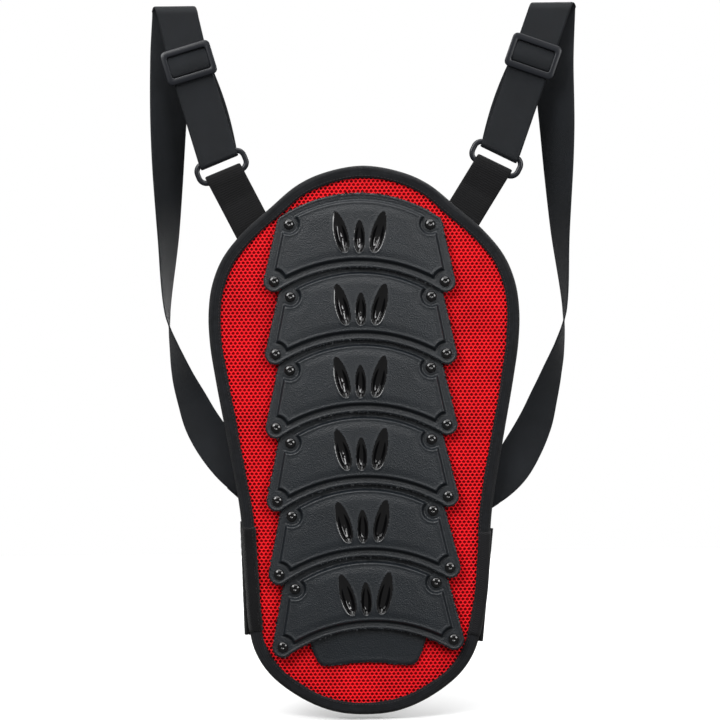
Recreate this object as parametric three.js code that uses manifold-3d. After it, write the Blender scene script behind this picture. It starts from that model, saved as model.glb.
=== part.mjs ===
// Back protector: a padded back shield with six overlapping moulded plates,
// two shoulder straps with sliders and square rings, and a folded waist belt.
// Millimetres, +Z up, +X to the viewer's right, plates face -Y, lining faces +Y.
import * as THREE from 'three';
import { mergeVertices } from 'three/addons/utils/BufferGeometryUtils.js';
import Module from 'manifold-3d';

const wasm = await Module();
wasm.setup();

// ---- driving dimensions -------------------------------------------------
const GAP = 0.3;
// right half of the pad's edge, from top centre to bottom centre
const PAD_EDGE = [
  [0, 272.5], [37, 266], [62, 254.5], [88, 233], [114.5, 209.5], [133, 186],
  [143, 161], [146.5, 135], [145.5, 106], [140.5, 72], [127.5, 0], [118.5, -55],
  [114.5, -118], [110, -160], [103, -186], [88, -208], [58, -230], [29, -241.5],
  [0, -244.5],
];
const PAD_SEGMENTS = 60;
// the foot of the pad is swung a little to the left below this height
const PAD_SWAY = { below: -120, over: 60, by: 2.2 };
const LINING_T = 1.2;
// raised flat panel in the middle of the lining, which rests on the wearer's back
const REST_PANEL = { half: 45, low: -40, high: 60, rise: 0.4 };
const FOAM_T = 10;
const MESH_T = 2;
const BINDING_W = 12;
const BINDING_T = 1.2;
const FOAM_BACK = -(LINING_T + GAP);
const FOAM_FRONT = FOAM_BACK - FOAM_T;
const MESH_BACK = FOAM_FRONT - GAP;
const MESH_FRONT = MESH_BACK - MESH_T;

// plates: x and turn follow how each is riveted, z is its upper rivet line
const PLATES = [
  { x: -3.3, z: 216.2, turn: -0.6 },
  { x: -2.8, z: 148.5, turn: -0.4 },
  { x: -4.0, z: 80.8, turn: 0.6 },
  { x: -4.0, z: 13.1, turn: 1.0 },
  { x: -3.6, z: -54.6, turn: 1.7 },
  { x: -1.2, z: -122.3, turn: 2.0 },
];
const PLATE_LEAN = 3.4;
const PLATE_STANDOFF = 2.0;
const FLANGE_T = 2.4;
const PANEL_RISE = 6.6;
const SHELL_T = 2.2;
const TOP_ARC = { v: -103.8, r: 133.8 };
const LOWER_ARC = { v: -183.2, r: 142.7 };
const LUG = { u: 80.3, v: -54, r: 9.6 };
const CORNER = { u: 71.7, v: 2.5, r: 5.5 };
const UPPER_RIVET = [66.2, 0];
const LOWER_RIVET = [80, -53.6];
const CLAWS = [
  { u: -18, v: -6.6, turn: 15.5, length: 38, half: 5.8 },
  { u: 0, v: -11, turn: 0, length: 29, half: 4.6 },
  { u: 18, v: -6.6, turn: -15.5, length: 38, half: 5.8 },
];
const RIVET_HEAD_R = 4.8;
const RIVET_HEAD_H = 2.4;
const RIVET_SHANK_R = 2;
const RIVET_WASHER_R = 3.8;
const BOSS_R = 5;
const SCOOP_R = 10.6;

// flex lines between plates, and the slit that lets each foam block turn
const FLEX_DROP = 60.7;
const FOAM_SLIT = 1.4;

// straps: each side is drawn on the left, and the right one is then mirrored
const WEB_W = 38;
const WEB_T = 1.4;
const RING_Y = 3.45;
const RING_ROD = 2;
const RING_LONG = 47.6;
const RING_SHORT = 19;
const TAB_LENGTH = 54;
const TAB_HIDDEN = 26;
const STRAP_TOP = 424;
const SLIDER_RISE = 93;
const SLIDER_W = 48.6;
const SLIDER_H = 33;
const SLIDER_WINDOW = { half: 19.4, rise: 10.5 };
const SLIDER_BAR_R = 1.6;
// turns lean outwards at the top; rear is x, y, z and how far the face has turned from the viewer
const SIDES = {
  left: {
    ringAt: [-133.3, 273.7], ringTurn: 22, tabTurn: 27, strapTurn: 16.3,
    rear: [
      [-182.5, 17, 375, 14], [-185.4, 22, 302, 34], [-187, 30, 212, 62], [-188.8, 34, 133, 90],
      [-182, 31, 98.7, 112], [-175.3, 26, 76.2, 127], [-166, 20, 53.5, 143],
      [-155.2, 12, 30.7, 160], [-140, 4.6, 8.1, 178], [-126, 2.6, -9, 180], [-110.5, 2.6, -23, 180],
    ],
  },
  right: {
    ringAt: [-127, 278.6], ringTurn: 26.5, tabTurn: 32, strapTurn: 19.7,
    rear: [
      [-184, 17, 375, 14], [-187, 22, 302, 36], [-189.5, 30, 212, 68], [-193.3, 34, 133, 92],
      [-187.5, 32, 98.7, 112], [-180.5, 28, 76.2, 125], [-172.5, 23, 53.5, 138],
      [-163, 16, 29, 154], [-150.5, 8, 6, 168], [-137, 3.6, -14, 178], [-123, 2.6, -27, 180], [-107, 2.6, -37, 180],
    ],
  },
};
const REAR_SPLIT = 133;

// waist belt, folded flat behind the pad
const BELT_HALF = 115.5;
const BELT_H = 107;
const BELT_Z = -120.5;
const BELT_TURN = -2.2;
const BELT_BASE_T = 2.2;
const WING_T = 1.8;
const WING_INNER = 105;
const WING_OUTER = 102;

// ---- helpers ------------------------------------------------------------
const deg = THREE.MathUtils.degToRad;
const group = new THREE.Group();

const LOOK = {
  plate: [0x1d2024, 0.45],
  claw: [0x08090a, 0.15],
  rivet: [0x0a0b0c, 0.2],
  foam: [0x3a1216, 0.95],
  mesh: [0xd8141f, 0.85],
  lining: [0x141416, 0.95],
  binding: [0x101012, 0.9],
  webbing: [0x17181b, 0.75],
  buckle: [0x15171b, 0.4],
  elastic: [0x121214, 0.9],
  loop: [0x1a1a1c, 1.0],
};

function add(name, look, geometry) {
  const [color, roughness] = LOOK[look];
  const mesh = new THREE.Mesh(geometry, new THREE.MeshStandardMaterial({ color, roughness }));
  mesh.name = name;
  group.add(mesh);
  return mesh;
}

function clean(geometry) {
  const g = geometry.clone();
  g.deleteAttribute('normal');
  g.deleteAttribute('uv');
  return mergeVertices(g, 1e-4);
}

function solid(geometry) {
  const g = clean(geometry);
  const index = Uint32Array.from(g.index.array);
  return new wasm.Manifold(new wasm.Mesh({
    numProp: 3,
    vertProperties: Float32Array.from(g.attributes.position.array),
    triVerts: index,
  }));
}

function geometryOf(manifold) {
  const m = manifold.getMesh();
  const g = new THREE.BufferGeometry();
  const flat = new Float32Array(m.numVert * 3);
  for (let i = 0; i < m.numVert; i += 1) {
    for (let k = 0; k < 3; k += 1) flat[3 * i + k] = m.vertProperties[m.numProp * i + k];
  }
  g.setAttribute('position', new THREE.BufferAttribute(flat, 3));
  g.setIndex(new THREE.BufferAttribute(Uint32Array.from(m.triVerts), 1));
  g.computeVertexNormals();
  return g;
}

// closed body between outlines given as [x, z] loops, one per depth y
function loft(levels) {
  const count = levels[0].loop.length;
  const positions = [];
  for (const { loop, y } of levels) {
    for (const [x, z] of loop) positions.push(x, y, z);
  }
  const faces = [];
  for (let k = 0; k + 1 < levels.length; k += 1) {
    for (let i = 0; i < count; i += 1) {
      const a = k * count + i;
      const b = k * count + ((i + 1) % count);
      faces.push(a, b, b + count, a, b + count, a + count);
    }
  }
  const cap = THREE.ShapeUtils.triangulateShape(
    levels[0].loop.map(([x, z]) => new THREE.Vector2(x, z)), []);
  const last = (levels.length - 1) * count;
  for (const [a, b, c] of cap) {
    faces.push(a, c, b);
    faces.push(last + a, last + b, last + c);
  }
  const g = new THREE.BufferGeometry();
  g.setAttribute('position', new THREE.Float32BufferAttribute(positions, 3));
  g.setIndex(faces);
  const m = solid(g);
  if (m.volume() < 0) {
    for (let i = 0; i < faces.length; i += 3) [faces[i + 1], faces[i + 2]] = [faces[i + 2], faces[i + 1]];
    g.setIndex(faces);
  }
  g.computeVertexNormals();
  return g;
}

// loop moved inwards along its own normals
function inset(loop, distance) {
  const n = loop.length;
  return loop.map((p, i) => {
    const a = loop[(i + n - 1) % n];
    const b = loop[(i + 1) % n];
    const tx = b[0] - a[0];
    const tz = b[1] - a[1];
    const len = Math.hypot(tx, tz);
    return [p[0] - (tz / len) * distance, p[1] + (tx / len) * distance];
  });
}

function arc(u, v, r, from, to, steps) {
  const points = [];
  for (let i = 0; i <= steps; i += 1) {
    const a = deg(from + ((to - from) * i) / steps);
    points.push([u + r * Math.cos(a), v + r * Math.sin(a)]);
  }
  return points;
}

// closes a right-hand half outline (bottom centre to top centre) with its mirror
function mirrored(half) {
  const left = half.slice(1, -1).reverse().map(([u, v]) => [-u, v]);
  return [...half, ...left];
}

function cylinderY(r, from, to, u, v, sides = 10) {
  const g = new THREE.CylinderGeometry(r, r, Math.abs(to - from), sides);
  g.translate(u, (from + to) / 2, v);
  return g;
}

function box(x0, x1, y0, y1, z0, z1) {
  const g = new THREE.BoxGeometry(x1 - x0, y1 - y0, z1 - z0);
  g.translate((x0 + x1) / 2, (y0 + y1) / 2, (z0 + z1) / 2);
  return g;
}

// flat strip along stations of centre p and unit width direction w
function ribbon(stations, width, thickness) {
  const n = stations.length;
  const positions = [];
  stations.forEach(({ p, w, along: given }, i) => {
    const before = stations[Math.max(i - 1, 0)].p;
    const after = stations[Math.min(i + 1, n - 1)].p;
    const t = given ?? after.clone().sub(before).normalize();
    const side = w.clone().addScaledVector(t, -w.dot(t)).normalize();
    const face = new THREE.Vector3().crossVectors(t, side);
    for (const [a, b] of [[-1, -1], [1, -1], [1, 1], [-1, 1]]) {
      const c = p.clone().addScaledVector(side, (a * width) / 2).addScaledVector(face, (b * thickness) / 2);
      positions.push(c.x, c.y, c.z);
    }
  });
  const faces = [0, 2, 1, 0, 3, 2];
  for (let i = 0; i + 1 < n; i += 1) {
    for (let k = 0; k < 4; k += 1) {
      const a = 4 * i + k;
      const b = 4 * i + ((k + 1) % 4);
      faces.push(a, b, b + 4, a, b + 4, a + 4);
    }
  }
  const e = 4 * (n - 1);
  faces.push(e, e + 1, e + 2, e, e + 2, e + 3);
  const g = new THREE.BufferGeometry();
  g.setAttribute('position', new THREE.Float32BufferAttribute(positions, 3));
  g.setIndex(faces);
  if (solid(g).volume() < 0) {
    for (let i = 0; i < faces.length; i += 3) [faces[i + 1], faces[i + 2]] = [faces[i + 2], faces[i + 1]];
    g.setIndex(faces);
  }
  g.computeVertexNormals();
  return g;
}

// ---- pad ----------------------------------------------------------------
function padLoop() {
  const right = PAD_EDGE.map(([x, z]) => new THREE.Vector3(x, 0, z));
  const left = PAD_EDGE.slice(1, -1).reverse().map(([x, z]) => new THREE.Vector3(-x, 0, z));
  const curve = new THREE.CatmullRomCurve3([...right, ...left], true, 'centripetal');
  const points = curve.getSpacedPoints(PAD_SEGMENTS).slice(0, PAD_SEGMENTS);
  const sway = (z) => PAD_SWAY.by * THREE.MathUtils.smoothstep(PAD_SWAY.below - z, 0, PAD_SWAY.over);
  return points.reverse().map((p) => [p.x - sway(p.z), p.z]);
}

const edge = padLoop();
const core = inset(edge, BINDING_T + GAP);

function plateMatrix(plate) {
  return new THREE.Matrix4()
    .makeTranslation(plate.x, MESH_FRONT - PLATE_STANDOFF, plate.z)
    .multiply(new THREE.Matrix4().makeRotationY(-deg(plate.turn)))
    .multiply(new THREE.Matrix4().makeRotationX(-deg(PLATE_LEAN)));
}

function rivetSpots(plate) {
  const m = plateMatrix(plate);
  return [UPPER_RIVET, LOWER_RIVET].flatMap(([u, v]) => [-1, 1].map((s) => {
    const p = new THREE.Vector3(s * u, 0, v).applyMatrix4(m);
    return { u: s * u, v, x: p.x, z: p.z, reach: MESH_FRONT - p.y };
  }));
}

function circlePath(x, z, r, sides) {
  const path = new THREE.Path();
  for (let i = 0; i < sides; i += 1) {
    const a = (-2 * Math.PI * i) / sides;
    if (i === 0) path.moveTo(x + r * Math.cos(a), z + r * Math.sin(a));
    else path.lineTo(x + r * Math.cos(a), z + r * Math.sin(a));
  }
  path.closePath();
  return path;
}

function buildPad() {
  const { half, low, high, rise } = REST_PANEL;
  const sheet = solid(loft([{ loop: core, y: -rise }, { loop: core, y: -LINING_T }]));
  const panel = solid(box(-half, half, -LINING_T + 0.2, 0, low, high));
  add('lining', 'lining', geometryOf(sheet.add(panel)));

  const face = new THREE.Shape(core.map(([x, z]) => new THREE.Vector2(x, z)));
  for (const plate of PLATES) {
    for (const spot of rivetSpots(plate)) face.holes.push(circlePath(spot.x, spot.z, 2.9, 8));
  }
  const mesh = new THREE.ExtrudeGeometry(face, { depth: MESH_T, bevelEnabled: false });
  mesh.rotateX(Math.PI / 2);
  mesh.translate(0, MESH_BACK, 0);
  add('mesh_face', 'mesh', clean(mesh));

  const back = GAP + BINDING_T;
  const front = MESH_FRONT - GAP - BINDING_T;
  const inner = inset(edge, BINDING_W);
  const binding = solid(loft([{ loop: edge, y: back }, { loop: edge, y: front }]))
    .subtract(solid(loft([
      { loop: inset(edge, BINDING_T), y: back - BINDING_T },
      { loop: inset(edge, BINDING_T), y: front + BINDING_T },
    ])))
    .subtract(solid(loft([{ loop: inner, y: back + 1 }, { loop: inner, y: front - 1 }])));
  add('edge_binding', 'binding', geometryOf(binding));

  const flexLines = PLATES.slice(0, 4).map((p) => p.z - FLEX_DROP);
  const tops = [400, ...flexLines.map((z) => z - FOAM_SLIT / 2)];
  const bottoms = [...flexLines.map((z) => z + FOAM_SLIT / 2), -400];
  const foam = solid(loft([{ loop: core, y: FOAM_BACK }, { loop: core, y: FOAM_FRONT }]));
  const names = ['foam_1', 'foam_2', 'foam_3', 'foam_4', 'foam_lower'];
  names.forEach((name, i) => {
    let block = foam.intersect(solid(box(-200, 200, -30, 10, bottoms[i], tops[i])));
    const plates = i < 4 ? [PLATES[i]] : PLATES.slice(4);
    for (const spot of plates.flatMap(rivetSpots)) {
      block = block.subtract(solid(cylinderY(4.9, FOAM_FRONT - 1, FOAM_FRONT + 3.2, spot.x, spot.z, 8)));
    }
    add(name, 'foam', geometryOf(block));
  });
}

// ---- plates and rivets --------------------------------------------------
function flangeLoop() {
  return mirrored([
    ...arc(0, LOWER_ARC.v, LOWER_ARC.r, 90, 59.5, 5),
    ...arc(LUG.u, LUG.v, LUG.r, -139, 12.6, 6),
    ...arc(CORNER.u, CORNER.v, CORNER.r, 12.6, 56, 2),
    ...arc(0, TOP_ARC.v, TOP_ARC.r, 60, 90, 4),
  ]);
}

// where two circles cross, on the chosen side of the line between centres
function crossing(one, two, side) {
  const du = two.u - one.u;
  const dv = two.v - one.v;
  const d = Math.hypot(du, dv);
  const angle = Math.atan2(dv, du) + side * Math.acos((one.r ** 2 + d ** 2 - two.r ** 2) / (2 * one.r * d));
  return [one.u + one.r * Math.cos(angle), one.v + one.r * Math.sin(angle)];
}

function bearing(circle, [u, v]) {
  return THREE.MathUtils.radToDeg(Math.atan2(v - circle.v, u - circle.u));
}

// raised panel, drawn in by the given distance; each rivet sits in its own scoop
function panelLoop(by) {
  const lower = { u: 0, v: LOWER_ARC.v, r: LOWER_ARC.r + 6.6 + by };
  const scoop = { u: LOWER_RIVET[0], v: LOWER_RIVET[1], r: SCOOP_R + by };
  const pocket = { u: UPPER_RIVET[0], v: UPPER_RIVET[1], r: 8.7 + by };
  const top = { u: 0, v: TOP_ARC.v, r: TOP_ARC.r - 7 - by };
  const side = { u: -923.6 - by, v: -228, r: 1020 };
  const a = crossing(lower, scoop, 1);
  const b = crossing(scoop, side, -1);
  const c = crossing(pocket, side, 1);
  const d = crossing(top, pocket, 1);
  return mirrored([
    ...arc(lower.u, lower.v, lower.r, 90, bearing(lower, a), 4),
    ...arc(scoop.u, scoop.v, scoop.r, bearing(scoop, a), bearing(scoop, b), 3).slice(1),
    ...arc(pocket.u, pocket.v, pocket.r, bearing(pocket, c), bearing(pocket, d) - 360, 5),
    ...arc(top.u, top.v, top.r, bearing(top, d), 90, 4).slice(1),
  ]);
}

function clawLoop({ u, v, turn, length, half }, scale) {
  const shape = [[0, 0.5], [-0.62, 0.22], [-1, -0.1], [-0.72, -0.38], [0, -0.5],
    [0.72, -0.38], [1, -0.1], [0.62, 0.22]];
  const c = Math.cos(deg(turn));
  const s = Math.sin(deg(turn));
  return shape.map(([a, b]) => {
    const x = a * half * scale;
    const y = b * length * (scale < 1 ? 0.8 : 1);
    return [u + x * c - y * s, v + x * s + y * c];
  });
}

function plateSolid() {
  const flange = flangeLoop();
  let body = solid(loft([{ loop: flange, y: 0 }, { loop: flange, y: -FLANGE_T }]));
  body = body.add(solid(loft([
    { loop: panelLoop(0), y: -0.5 },
    { loop: panelLoop(0), y: -FLANGE_T - 0.2 },
    { loop: panelLoop(2.2), y: -PANEL_RISE },
  ])));
  body = body.subtract(solid(loft([
    { loop: panelLoop(SHELL_T), y: 2 },
    { loop: panelLoop(SHELL_T), y: -FLANGE_T + 0.6 },
    { loop: panelLoop(SHELL_T + 1.6), y: -PANEL_RISE + SHELL_T },
  ])));
  for (const claw of CLAWS) {
    const pit = clawLoop(claw, 1);
    const slot = clawLoop(claw, 0.5);
    body = body.subtract(solid(loft([{ loop: pit, y: -PANEL_RISE + 1.1 }, { loop: pit, y: -PANEL_RISE - 2 }])));
    body = body.subtract(solid(loft([{ loop: slot, y: 2 }, { loop: slot, y: -PANEL_RISE - 2 }])));
  }
  const lean = Math.sin(deg(PLATE_LEAN));
  for (const [u, v] of [UPPER_RIVET, LOWER_RIVET]) {
    const reach = PLATE_STANDOFF - v * lean - 0.55;
    for (const s of [-1, 1]) {
      body = body.add(solid(cylinderY(BOSS_R, -1, reach, s * u, v, 10)));
      body = body.subtract(solid(cylinderY(RIVET_SHANK_R + GAP, -9, 9, s * u, v, 8)));
    }
  }
  return body;
}

function rivetGeometry(reach) {
  const seat = -FLANGE_T - 0.25;
  const washer = reach + MESH_T + 0.5;
  const profile = [
    [0, seat - RIVET_HEAD_H], [RIVET_HEAD_R * 0.62, seat - RIVET_HEAD_H * 0.8],
    [RIVET_HEAD_R, seat - 0.5], [RIVET_HEAD_R, seat], [RIVET_SHANK_R, seat],
    [RIVET_SHANK_R, washer], [RIVET_WASHER_R, washer], [RIVET_WASHER_R, washer + 0.8], [0, washer + 0.8],
  ];
  return new THREE.LatheGeometry(profile.map(([r, y]) => new THREE.Vector2(r, y)), 8);
}

function buildPlates() {
  const template = geometryOf(plateSolid());
  const lean = Math.cos(deg(PLATE_LEAN));
  PLATES.forEach((plate, i) => {
    const m = plateMatrix(plate);
    add(`plate_${i + 1}`, 'plate', template.clone().applyMatrix4(m));
    rivetSpots(plate).forEach((spot, k) => {
      const rivet = rivetGeometry(spot.reach / lean);
      rivet.translate(spot.u, 0, spot.v);
      rivet.applyMatrix4(m);
      add(`rivet_${i + 1}_${['ul', 'ur', 'll', 'lr'][k]}`, 'rivet', clean(rivet));
    });
  });
  const tail = mirrored([[0, -194.5], [16, -195.2], [30, -197], [40, -197.5], [47, -194.5],
    [51, -185], [55, -172], [50, -150], [0, -146]]);
  add('tail_plate', 'plate', loft([{ loop: tail, y: MESH_FRONT - GAP }, { loop: tail, y: MESH_FRONT - 2.2 }]));
}

// ---- shoulder straps ----------------------------------------------------
// moves a part drawn along +Z, facing -Y, to a point and a lean to the left
function place(geometry, x, z, lean, mirror) {
  geometry.applyMatrix4(new THREE.Matrix4().makeRotationY(-deg(lean)));
  geometry.translate(x, 0, z);
  return mirror ? flip(geometry) : geometry;
}

function flip(geometry) {
  const g = clean(geometry);
  const p = g.attributes.position;
  for (let i = 0; i < p.count; i += 1) p.setX(i, -p.getX(i));
  const index = Array.from(g.index.array);
  for (let i = 0; i < index.length; i += 3) [index[i + 1], index[i + 2]] = [index[i + 2], index[i + 1]];
  g.setIndex(index);
  g.computeVertexNormals();
  return g;
}

function along(x, z, lean, distance) {
  return [x - Math.sin(deg(lean)) * distance, z + Math.cos(deg(lean)) * distance];
}

function ringGeometry() {
  const a = RING_LONG / 2;
  const b = RING_SHORT / 2;
  const c = 4;
  const corners = [[a - c, b], [a, b - c], [a, c - b], [a - c, -b], [c - a, -b], [-a, c - b], [-a, b - c], [c - a, b]];
  const path = new THREE.CurvePath();
  corners.forEach(([x, z], i) => {
    const [x1, z1] = corners[(i + 1) % corners.length];
    const from = new THREE.Vector3(x, 0, z);
    const to = new THREE.Vector3(x1, 0, z1);
    if (i % 2 === 0) {
      const corner = new THREE.Vector3(Math.sign(x) * a, 0, Math.sign(z) * b);
      path.add(new THREE.QuadraticBezierCurve3(from, corner, to));
    } else {
      path.add(new THREE.LineCurve3(from, to));
    }
  });
  const g = new THREE.TubeGeometry(path, 28, RING_ROD, 6, true);
  g.translate(0, RING_Y, 0);
  return g;
}

function tabGeometry() {
  const end = TAB_LENGTH;
  const slack = 2.1;
  const outer = RING_ROD + GAP + WEB_T;
  const inner = RING_ROD + GAP;
  const shape = new THREE.Shape();
  shape.moveTo(-TAB_HIDDEN, -1.6);
  shape.lineTo(end - 18, -1.6);
  shape.lineTo(end - 5, -outer);
  for (const [x, y] of arc(end + slack, 0, outer, -75, 75, 5)) shape.lineTo(x, y);
  shape.lineTo(end - 5, outer);
  shape.lineTo(end - 18, 1.6);
  shape.lineTo(-TAB_HIDDEN, 1.6);
  shape.closePath();
  const eye = new THREE.Path();
  eye.moveTo(end - 17, 0);
  eye.lineTo(end - 5, inner);
  for (const [x, y] of arc(end + slack, 0, inner + 0.2, 80, -80, 5)) eye.lineTo(x, y);
  eye.lineTo(end - 5, -inner);
  eye.closePath();
  shape.holes.push(eye);
  const g = new THREE.ExtrudeGeometry(shape, { depth: WEB_W - 2, bevelEnabled: false });
  g.translate(0, 0, -(WEB_W - 2) / 2);
  g.applyMatrix4(new THREE.Matrix4().makeBasis(
    new THREE.Vector3(0, 0, 1), new THREE.Vector3(0, 1, 0), new THREE.Vector3(-1, 0, 0)));
  g.translate(0, RING_Y, -end + 0.8);
  return g;
}

// distance from the ring's bar to the webbing that turns round it
const WRAP = RING_ROD + GAP + WEB_T / 2 + 0.5;
const WRAP_DROP = 1.4;
const FRONT_Y = RING_Y - WRAP;
const FOLD_R = 8;

function directions(lean) {
  const a = deg(lean);
  return {
    across: new THREE.Vector3(Math.cos(a), 0, Math.sin(a)),
    up: new THREE.Vector3(-Math.sin(a), 0, Math.cos(a)),
  };
}

// stations of the whole shoulder strap, ring end first
function strapStations(side, upperBar) {
  const ring = directions(side.ringTurn);
  const { across, up } = directions(side.strapTurn);
  const start = new THREE.Vector3(upperBar[0], RING_Y, upperBar[1]);
  const stations = [];
  for (const a of [0, -45, -90, -135, -180]) {
    const p = start.clone().addScaledVector(ring.up, WRAP * Math.sin(deg(a)) - WRAP_DROP);
    p.y += WRAP * Math.cos(deg(a));
    stations.push({ p, w: ring.across.clone() });
  }
  const run = (STRAP_TOP - 12 - upperBar[1]) / Math.cos(deg(side.strapTurn));
  for (const d of [30, 70, 110, run]) {
    stations.push({ p: start.clone().addScaledVector(up, d).setY(FRONT_Y), w: across.clone() });
  }
  const fold = stations.at(-1).p;
  for (const a of [30, 60, 90, 120, 150]) {
    const p = fold.clone().addScaledVector(up, FOLD_R * Math.sin(deg(a)));
    p.y = FRONT_Y + FOLD_R - FOLD_R * Math.cos(deg(a));
    p.x -= 2 * (a / 150);
    stations.push({ p, w: across.clone() });
  }
  const centres = side.rear.map(([x, y, z]) => new THREE.Vector3(x, y, z));
  const curve = new THREE.CatmullRomCurve3([stations.at(-1).p, ...centres], false, 'centripetal');
  const turns = [0, ...side.rear.map((r) => r[3])];
  const steps = 3 * centres.length;
  for (let i = 1; i <= steps; i += 1) {
    const t = i / steps;
    const k = Math.min(Math.floor(t * centres.length), centres.length - 1);
    const angle = THREE.MathUtils.lerp(turns[k], turns[k + 1], t * centres.length - k);
    const tangent = curve.getTangent(t);
    const width = new THREE.Vector3().crossVectors(new THREE.Vector3(0, 1, 0), tangent).normalize();
    if (width.x > 0) width.negate();
    stations.push({ p: curve.getPoint(t), w: width.negate().applyAxisAngle(tangent, -deg(angle)) });
  }
  return stations;
}

function sliderGeometry() {
  const hw = SLIDER_W / 2;
  const hh = SLIDER_H / 2;
  const front = FRONT_Y - WEB_T / 2 - GAP;
  const barY = front + 2 * GAP + WEB_T + GAP + WEB_T + 1.7;
  const loop = mirrored([[0, -hh], [hw - 4, -hh], [hw - 1, -hh + 1.2], [hw, -hh + 4], [hw, hh - 4],
    [hw - 1, hh - 1.2], [hw - 4, hh], [0, hh]]);
  const { half, rise } = SLIDER_WINDOW;
  let body = solid(loft([{ loop, y: front }, { loop, y: front - 3 }]));
  body = body.subtract(solid(box(-half, half, -20, 20, -rise, rise)));
  const post = hw - 0.8 - half;
  for (const x0 of [half, -half - post]) {
    body = body.add(solid(box(x0, x0 + post, front - 1, barY + SLIDER_BAR_R, -3, 3)));
  }
  const bar = new THREE.CylinderGeometry(SLIDER_BAR_R, SLIDER_BAR_R, 2 * hw - 4, 8);
  bar.rotateZ(Math.PI / 2);
  bar.translate(0, barY, 0);
  return { geometry: geometryOf(body.add(solid(bar))), barY };
}

function sleeveGeometry(barY) {
  const shape = new THREE.Shape();
  shape.absarc(0, 0, SLIDER_BAR_R + GAP + WEB_T, 0, 2 * Math.PI, false);
  const hole = new THREE.Path();
  hole.absarc(0, 0, SLIDER_BAR_R + GAP, 0, 2 * Math.PI, true);
  shape.holes.push(hole);
  const g = new THREE.ExtrudeGeometry(shape, { depth: WEB_W, bevelEnabled: false, curveSegments: 10 });
  g.translate(0, 0, -WEB_W / 2);
  g.rotateY(Math.PI / 2);
  g.translate(0, barY, 0);
  return g;
}

function buildStrap(name, mirror) {
  const side = SIDES[name];
  const { ringAt, ringTurn, tabTurn, strapTurn } = side;
  const lowerBar = along(ringAt[0], ringAt[1], ringTurn, -RING_SHORT / 2);
  const upperBar = along(ringAt[0], ringAt[1], ringTurn, RING_SHORT / 2);
  const sliderAt = along(upperBar[0], upperBar[1], strapTurn, SLIDER_RISE);
  const put = (part, look, geometry, at, lean) => {
    add(`${name}_${part}`, look, clean(place(geometry, at[0], at[1], lean, mirror)));
  };
  put('tab', 'webbing', tabGeometry(), lowerBar, tabTurn);
  put('ring', 'buckle', ringGeometry(), ringAt, ringTurn);

  const stations = strapStations(side, upperBar);
  const split = stations.findIndex((s, i) => i > 14 && s.p.z < REAR_SPLIT);
  const cut = stations[split];
  cut.along = stations[split + 1].p.clone().sub(stations[split - 1].p).normalize();
  const start = { ...cut, p: cut.p.clone().addScaledVector(cut.along, 0.4) };
  const upper = ribbon(stations.slice(0, split + 1), WEB_W, WEB_T);
  const lower = ribbon([start, ...stations.slice(split + 1)], WEB_W, WEB_T);
  add(`${name}_strap`, 'webbing', mirror ? flip(upper) : upper);
  add(`${name}_rear_strap`, 'webbing', mirror ? flip(lower) : lower);

  const { geometry, barY } = sliderGeometry();
  put('slider', 'buckle', geometry, sliderAt, strapTurn);
  put('sleeve', 'webbing', sleeveGeometry(barY), sliderAt, strapTurn);

  const y = RING_Y + WRAP;
  const back = box(-WEB_W / 2, WEB_W / 2, y - WEB_T / 2, y + WEB_T / 2, 2.8, SLIDER_RISE - 4.2);
  put('return', 'webbing', back, upperBar, strapTurn);
}

// ---- waist belt ---------------------------------------------------------
function buildBelt() {
  const h = BELT_H / 2;
  const tilted = (g) => {
    g.applyMatrix4(new THREE.Matrix4().makeRotationY(-deg(BELT_TURN)));
    g.translate(0, 0, BELT_Z);
    return g;
  };
  const baseY = GAP + BINDING_T + GAP;
  const innerY = baseY + BELT_BASE_T + 0.6;
  const outerY = innerY + WING_T + 0.6;
  add('belt_base', 'elastic', tilted(box(-BELT_HALF, BELT_HALF, baseY, baseY + BELT_BASE_T, -h, h)));
  for (const [name, s, look] of [['left', -1, 'loop'], ['right', 1, 'elastic']]) {
    const x = (a, b) => [Math.min(s * a, s * b), Math.max(s * a, s * b)];
    const near = BELT_HALF;
    const inner = x(near, near - WING_INNER);
    const outer = x(near - WING_INNER, near - WING_INNER + WING_OUTER);
    add(`${name}_wing`, look, tilted(box(inner[0], inner[1], innerY, innerY + WING_T, -h, h)));
    add(`${name}_wing_end`, look, tilted(box(outer[0], outer[1], outerY, outerY + WING_T, -h, h)));
  }
  const patch = box(58, 108, outerY + WING_T + 0.2, outerY + WING_T + 1.4, -h + 8, h - 8);
  add('hook_patch', 'loop', tilted(patch));
}

buildPad();
buildPlates();
buildStrap('left', false);
buildStrap('right', true);
buildBelt();

export default group;
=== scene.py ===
# Back protector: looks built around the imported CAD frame. Metres, +Z up, plates face -Y.
import math
import random

import bmesh
import bpy
import numpy as np
from mathutils import Matrix, Vector


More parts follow.
